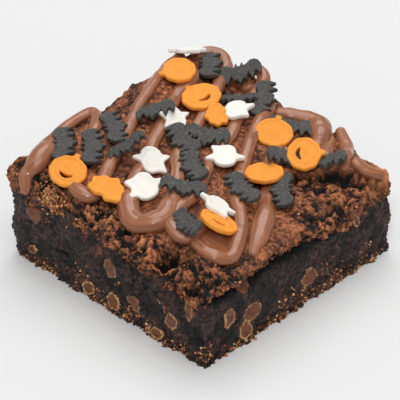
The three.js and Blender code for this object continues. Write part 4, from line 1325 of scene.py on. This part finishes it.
class BROWNIE_OT_chips(bpy.types.Operator):
    """Set the cut chocolate chips into the two near sides"""

    bl_idname = "brownie.chips"
    bl_label = "Chocolate chips"

    def execute(self, context):
        sizes, colours = context.scene.brownie_sizes, context.scene.brownie_colours
        points, faces, gold = [], [], []
        spokes, rings = CHIP_SPOKES, CHIP_RINGS
        for number, (side, along, height, wide, high, turn, rim) in enumerate(CHIPS):
            start = len(points)
            wide, high = CHIP_SPREAD * wide, CHIP_SPREAD * high
            a = math.radians(turn)
            # The shell: out from the middle of the cut face to its rim, then back to a point inside
            for k in range(1, 2 * rings):
                front = k <= rings
                r = k / rings if front else (2 * rings - k) / rings
                deep = 0.0 if front else -CHIP_DEPTH * math.sqrt(max(0.0, 1 - r * r))
                for i in range(spokes):
                    b = 2 * math.pi * i / spokes
                    corner = Vector((math.cos(b) * 1.5, math.sin(b) * 1.5, number * 3.1))
                    wobble = 1 + 0.34 * noise.noise(corner) + 0.12 * noise.noise(3 * corner)
                    p = r * wobble * wide * math.cos(b)
                    q = r * wobble * high * math.sin(b)
                    s = along + p * math.cos(a) - q * math.sin(a)
                    h = max(0.15, height + p * math.sin(a) + q * math.cos(a))
                    points.append(self.on_side(side, s, h, deep, front, r, rim, sizes, number))
                    low = 0.5 - 0.5 * math.sin(b + a)
                    edge = smooth((r - 0.74) / 0.08) if front else 1.0
                    patchy = 0.8 + 1.6 * noise.noise(Vector((s * 1.6, h * 1.6, number)))
                    gold.append(float(np.clip(rim * edge * (patchy + 0.7 * low), 0, 1)))
            top, bottom = len(points), len(points) + 1
            points.append(self.on_side(side, along, height, 0.0, True, 0.0, rim, sizes, number))
            points.append(self.on_side(side, along, height, -CHIP_DEPTH, False, 0.0, rim, sizes, number))
            gold += [0.0, 0.0]
            count = 2 * rings - 1
            faces += [tuple(start + f for f in face) for face in ring_faces(count, spokes)]
            last = start + (count - 1) * spokes
            faces += [(start + (i + 1) % spokes, start + i, top) for i in range(spokes)]
            faces += [(last + i, last + (i + 1) % spokes, bottom) for i in range(spokes)]
        piece = make_piece("chocolate_chips", np.array(points), faces, chip_face(colours),
                           {"gold": np.array(gold)})
        shape = bmesh.new()
        shape.from_mesh(piece.data)
        bmesh.ops.recalc_face_normals(shape, faces=shape.faces)
        shape.to_mesh(piece.data)
        shape.free()
        return {"FINISHED"}

    def on_side(self, side, s, h, deep, front, r, rim, sizes, number):
        """A point on a side's surface, sunk by deep mm. A gilded rim stands a little proud."""
        x, y = (s, -HALF) if side == "left" else (HALF, s)
        top = float(crust(np.array(x), np.array(y)) + rubble(np.array(x), np.array(y)))
        out = float(wall_relief(np.array(x), np.array(y), h / top))
        proud = sizes.chip_proud / MM if front else 0.0
        if front:
            proud += 0.2 * rim * float(smooth((r - 0.7) / 0.12)) - 0.7 * float(smooth((r - 0.87) / 0.13))
            proud += 0.2 * noise.noise(Vector((s, h, number)))
        else:
            proud -= 0.12
        out += proud + deep
        return (s, -HALF - out, h) if side == "left" else (HALF + out, s, h)


class BROWNIE_OT_drizzle(bpy.types.Operator):
    """Pipe the milk chocolate drizzle along its routes"""

    bl_idname = "brownie.drizzle"
    bl_label = "Drizzle"

    def execute(self, context):
        sizes, colours = context.scene.brownie_sizes, context.scene.brownie_colours
        points, edges, widths = [], [], []
        for name, route in DRIZZLE.items():
            samples = rounded_ends(self.uneven(name, samples_along(route, DRIZZLE_STEP)))
            start = len(points)
            points += (samples[:, :3] * MM).tolist()
            widths += (samples[:, 3] * MM).tolist()
            edges += [(start + i, start + i + 1) for i in range(len(samples) - 1)]
        line = bpy.data.meshes.new("drizzle_line")
        line.from_pydata(points, edges, [])
        line.attributes.new("half_width", "FLOAT", "POINT").data.foreach_set("value", widths)
        material = milk_chocolate(colours)
        mesh = grown("drizzle", line, strand_tree(), {
            "Sides": STRAND_SIDES, "Flatness": SQUASH * ROPE_FLATNESS, "Streak": sizes.streak,
            "Streaks": STREAKS, "Material": material,
        })
        mesh.shade_smooth()
        finish_piece("chocolate_drizzle", mesh, material)
        self.pool(material)
        return {"FINISHED"}

    def uneven(self, name, samples):
        """Lets a strand swell and wander a little, as from a hand-held nozzle. The strip ends in a flat
        smear, and the short piece at the right corner is pressed in."""
        places = samples[:, :3].copy()
        samples[:, 3] *= 1.0 + 0.17 * soft_noise(places, 6.0, 3, 61)
        samples[:, 0] += 0.4 * soft_noise(places, 6.0, 2, 62)
        samples[:, 1] += 0.4 * soft_noise(places, 6.0, 2, 63)
        if name == "strip":
            samples[:, 2] -= SMEAR_SINK * smooth((samples[:, 0] - 18) / 6) * samples[:, 3]
        if name == PRESSED:
            samples[:, 2] -= SMEAR_SINK * samples[:, 3]
        return samples

    def pool(self, material):
        """The thin pool of chocolate inside the last loop: a shallow dish, closed underneath."""
        middle_x, middle_y, radius, level, rise = POOL
        spokes, rings = POOL_SPOKES, POOL_RINGS
        rows = []
        for k in range(1, 2 * rings):
            share = (k if k <= rings else 2 * rings - k) / rings
            a = 2 * math.pi * np.arange(spokes) / spokes
            x = middle_x + share * radius * np.cos(a)
            y = middle_y + share * radius * np.sin(a)
            lift = level + rise * share**2 if k <= rings else -POOL_DEPTH * (1 - share)
            rows.append(np.column_stack([x, y, bed_level(x, y) + lift]))
        base = float(bed_level(middle_x, middle_y))
        ends = [[middle_x, middle_y, base + level], [middle_x, middle_y, base - POOL_DEPTH]]
        points = np.vstack([*rows, ends])
        top, under = len(points) - 2, len(points) - 1
        faces = [face[::-1] for face in ring_faces(2 * rings - 1, spokes)]
        faces += [(i, (i + 1) % spokes, top) for i in range(spokes)]
        last = (2 * rings - 2) * spokes
        faces += [(last + (i + 1) % spokes, last + i, under) for i in range(spokes)]
        points[:, 2] += 0.12 * soft_noise(points, 3.0, 3, 64)
        attributes = {"along": points[:, 0] * MM, "around": points[:, 1] * POOL_STREAK}
        make_piece("chocolate_pool", points, faces, material, attributes)


class BROWNIE_OT_sugar(bpy.types.Operator):
    """Press the sugar bats, ghosts and pumpkins and lay them where they rest"""

    bl_idname = "brownie.sugar"
    bl_label = "Sugar shapes"

    def execute(self, context):
        sizes, colours = context.scene.brownie_sizes, context.scene.brownie_colours
        thickness, rounding = sizes.sugar_thickness / MM, sizes.sugar_round / MM
        places = resting_places(thickness)
        black = pressed_sugar("pressed_charcoal_sugar", colours.charcoal, BAT_SHADE, 0.0, 0.4)
        white = pressed_sugar("pressed_white_sugar", colours.white, GHOST_SHADE, 0.2, 0.0)
        orange = pressed_sugar("pressed_orange_sugar", colours.orange, PUMPKIN_SHADE, 0.15, 0.0)
        families = [
            ("sugar_bats", ("bat",), "black_sugar", black),
            ("sugar_ghosts", ("ghost",), "white_sugar", white),
            ("sugar_pumpkins", ("pumpkin", "smiling", "notched", "plain"), "orange_sugar", orange),
        ]
        present = sorted({place[0] for place in places})
        templates = {kind: sugar_template(kind, thickness, rounding) for kind in present}
        for name, kinds, slot, material in families:
            points, faces, count = [], [], 0
            for number, (kind, matrix, middle, size) in enumerate(places):
                if kind not in kinds:
                    continue
                shape, shape_faces = templates[kind]
                scaled = shape * np.array([size, size, 1.0])
                wear = soft_noise(scaled + 31.0 * number, 2.2, 3, 41)
                bowed = np.column_stack([0 * wear, 0 * wear, 0.05 * wear])
                scaled = scaled * (1 + 0.012 * wear[:, None]) + bowed
                points.append(scaled @ matrix.T + middle)
                faces += [tuple(count + i for i in face) for face in shape_faces]
                count += len(shape)
            make_piece(name, np.vstack(points), faces, material)
        return {"FINISHED"}


class BROWNIE_OT_crumbs(bpy.types.Operator):
    """Scatter loose crumbs over the sides, the foot and the broken crust"""

    bl_idname = "brownie.crumbs"
    bl_label = "Loose crumbs"

    def execute(self, context):
        sizes, colours = context.scene.brownie_sizes, context.scene.brownie_colours
        tree = scatter_tree()
        crumb, crust_piece = bpy.data.objects["brownie_crumb"], bpy.data.objects["brownie_crust"]
        dark = loose_crumb("loose_dark_crumb", colours.crumb, colours.crumb_light, colours.crust)
        baked = loose_crumb("loose_baked_crumb", colours.crust_dark, colours.crust, colours.crust_light)
        toffee = loose_crumb("loose_toffee_crumb", colours.crust, colours.crust_light, colours.gold_light)
        kinds = [
            ("crumbs_dark", crumb, "crumb", "loose", SCATTERED, dark),
            ("crumbs_baked", crust_piece, "crust", "loose", SCATTERED, baked),
            ("crumbs_gold", crumb, "crumb", "gold", DENSE, toffee),
            ("crumbs_tan", crust_piece, "crust", "gold", DENSE, toffee),
        ]
        for seed, (name, source, slot, mask, density, material) in enumerate(kinds, 1):
            mesh = grown(name, source.data, tree, {
                "Density": float(density), "Smallest": sizes.crumb_least, "Largest": sizes.crumb_most,
                "Mask": mask, "Seed": seed, "Material": material,
            })
            mesh.shade_flat()
            finish_piece(name, mesh, material)
        return {"FINISHED"}


class BROWNIE_OT_stage(bpy.types.Operator):
    """Set the pale floor and backdrop, the soft lights and the camera"""

    bl_idname = "brownie.stage"
    bl_label = "Stage"

    def execute(self, context):
        colours = context.scene.brownie_colours
        sweep = bpy.data.meshes.new("sweep")
        # The floor runs back and curves up into the backdrop, behind the brownie as the camera sees it
        far, curve, half = SWEEP["far"], SWEEP["curve"], SWEEP["half"]
        profile = [(SWEEP["near"], 0.0), (far, 0.0)]
        for a in np.linspace(0.1, math.pi / 2, SWEEP["steps"]):
            profile.append((far + curve * math.sin(a), curve - curve * math.cos(a)))
        profile.append((far + curve, SWEEP["high"]))
        turn = Matrix.Rotation(math.radians(CAMERA["azimuth"]), 3, "Z")
        points = [turn @ Vector((w, d, z)) for d, z in profile for w in (-half, half)]
        quads = [(2 * i, 2 * i + 1, 2 * i + 3, 2 * i + 2) for i in range(len(profile) - 1)]
        sweep.from_pydata(points, [], quads)
        sweep.shade_smooth()
        material, tree, shader, _ = new_material("matte_paper_sweep")
        shader.inputs["Base Color"].default_value = colours.floor
        shader.inputs["Roughness"].default_value = 0.9
        shader.inputs["Specular IOR Level"].default_value = 0.2
        sweep.materials.append(material)
        floor = bpy.data.objects.new("floor", sweep)
        context.scene.collection.objects.link(floor)
        for name, (azimuth, elevation, distance, width, power) in LIGHTS.items():
            lamp = bpy.data.lights.new(name, "AREA")
            lamp.shape = "DISK"
            lamp.size = width
            lamp.energy = power
            holder = bpy.data.objects.new(name, lamp)
            back = direction(azimuth, elevation)
            holder.location = back * distance
            holder.rotation_euler = back.to_track_quat("Z", "Y").to_euler()
            context.scene.collection.objects.link(holder)
        world = bpy.data.worlds.new("soft_white")
        world.use_nodes = True
        world.node_tree.nodes["Background"].inputs["Color"].default_value = (1, 1, 1, 1)
        world.node_tree.nodes["Background"].inputs["Strength"].default_value = WORLD_STRENGTH
        context.scene.world = world
        context.scene.view_settings.view_transform = "Standard"
        lens = bpy.data.cameras.new("camera")
        lens.sensor_width = CAMERA["sensor"]
        lens.lens = CAMERA["sensor"] * CAMERA["focal_widths"]
        camera = bpy.data.objects.new("camera", lens)
        back = direction(CAMERA["azimuth"], CAMERA["elevation"])
        camera.location = Vector(CAMERA["target"]) * MM + back * CAMERA["distance"] * MM
        camera.rotation_euler = back.to_track_quat("Z", "Y").to_euler()
        context.scene.collection.objects.link(camera)
        context.scene.camera = camera
        return {"FINISHED"}


class BROWNIE_PT_panel(bpy.types.Panel):
    bl_idname = "BROWNIE_PT_panel"
    bl_label = "Brownie"
    bl_space_type = "VIEW_3D"
    bl_region_type = "UI"
    bl_category = "Brownie"

    def draw(self, context):
        for group in (context.scene.brownie_sizes, context.scene.brownie_colours):
            box = self.layout.box()
            for name in group.bl_rna.properties.keys():
                if name not in ("rna_type", "name"):
                    box.prop(group, name)
        for operator in OPERATORS:
            self.layout.operator(operator.bl_idname)


OPERATORS = (
    BROWNIE_OT_crumb, BROWNIE_OT_crust, BROWNIE_OT_chips, BROWNIE_OT_drizzle, BROWNIE_OT_sugar,
    BROWNIE_OT_crumbs, BROWNIE_OT_stage,
)
CLASSES = (BrownieSizes, BrownieColours, *OPERATORS, BROWNIE_PT_panel)


def register():
    for item in CLASSES:
        bpy.utils.register_class(item)
    bpy.types.Scene.brownie_sizes = bpy.props.PointerProperty(type=BrownieSizes)
    bpy.types.Scene.brownie_colours = bpy.props.PointerProperty(type=BrownieColours)


def unregister():
    del bpy.types.Scene.brownie_colours
    del bpy.types.Scene.brownie_sizes
    for item in reversed(CLASSES):
        bpy.utils.unregister_class(item)


def main():
    register()
    bpy.ops.brownie.crumb()
    bpy.ops.brownie.crust()
    bpy.ops.brownie.chips()
    bpy.ops.brownie.drizzle()
    bpy.ops.brownie.sugar()
    bpy.ops.brownie.crumbs()
    bpy.ops.brownie.stage()


if __name__ == "__main__":
    main()
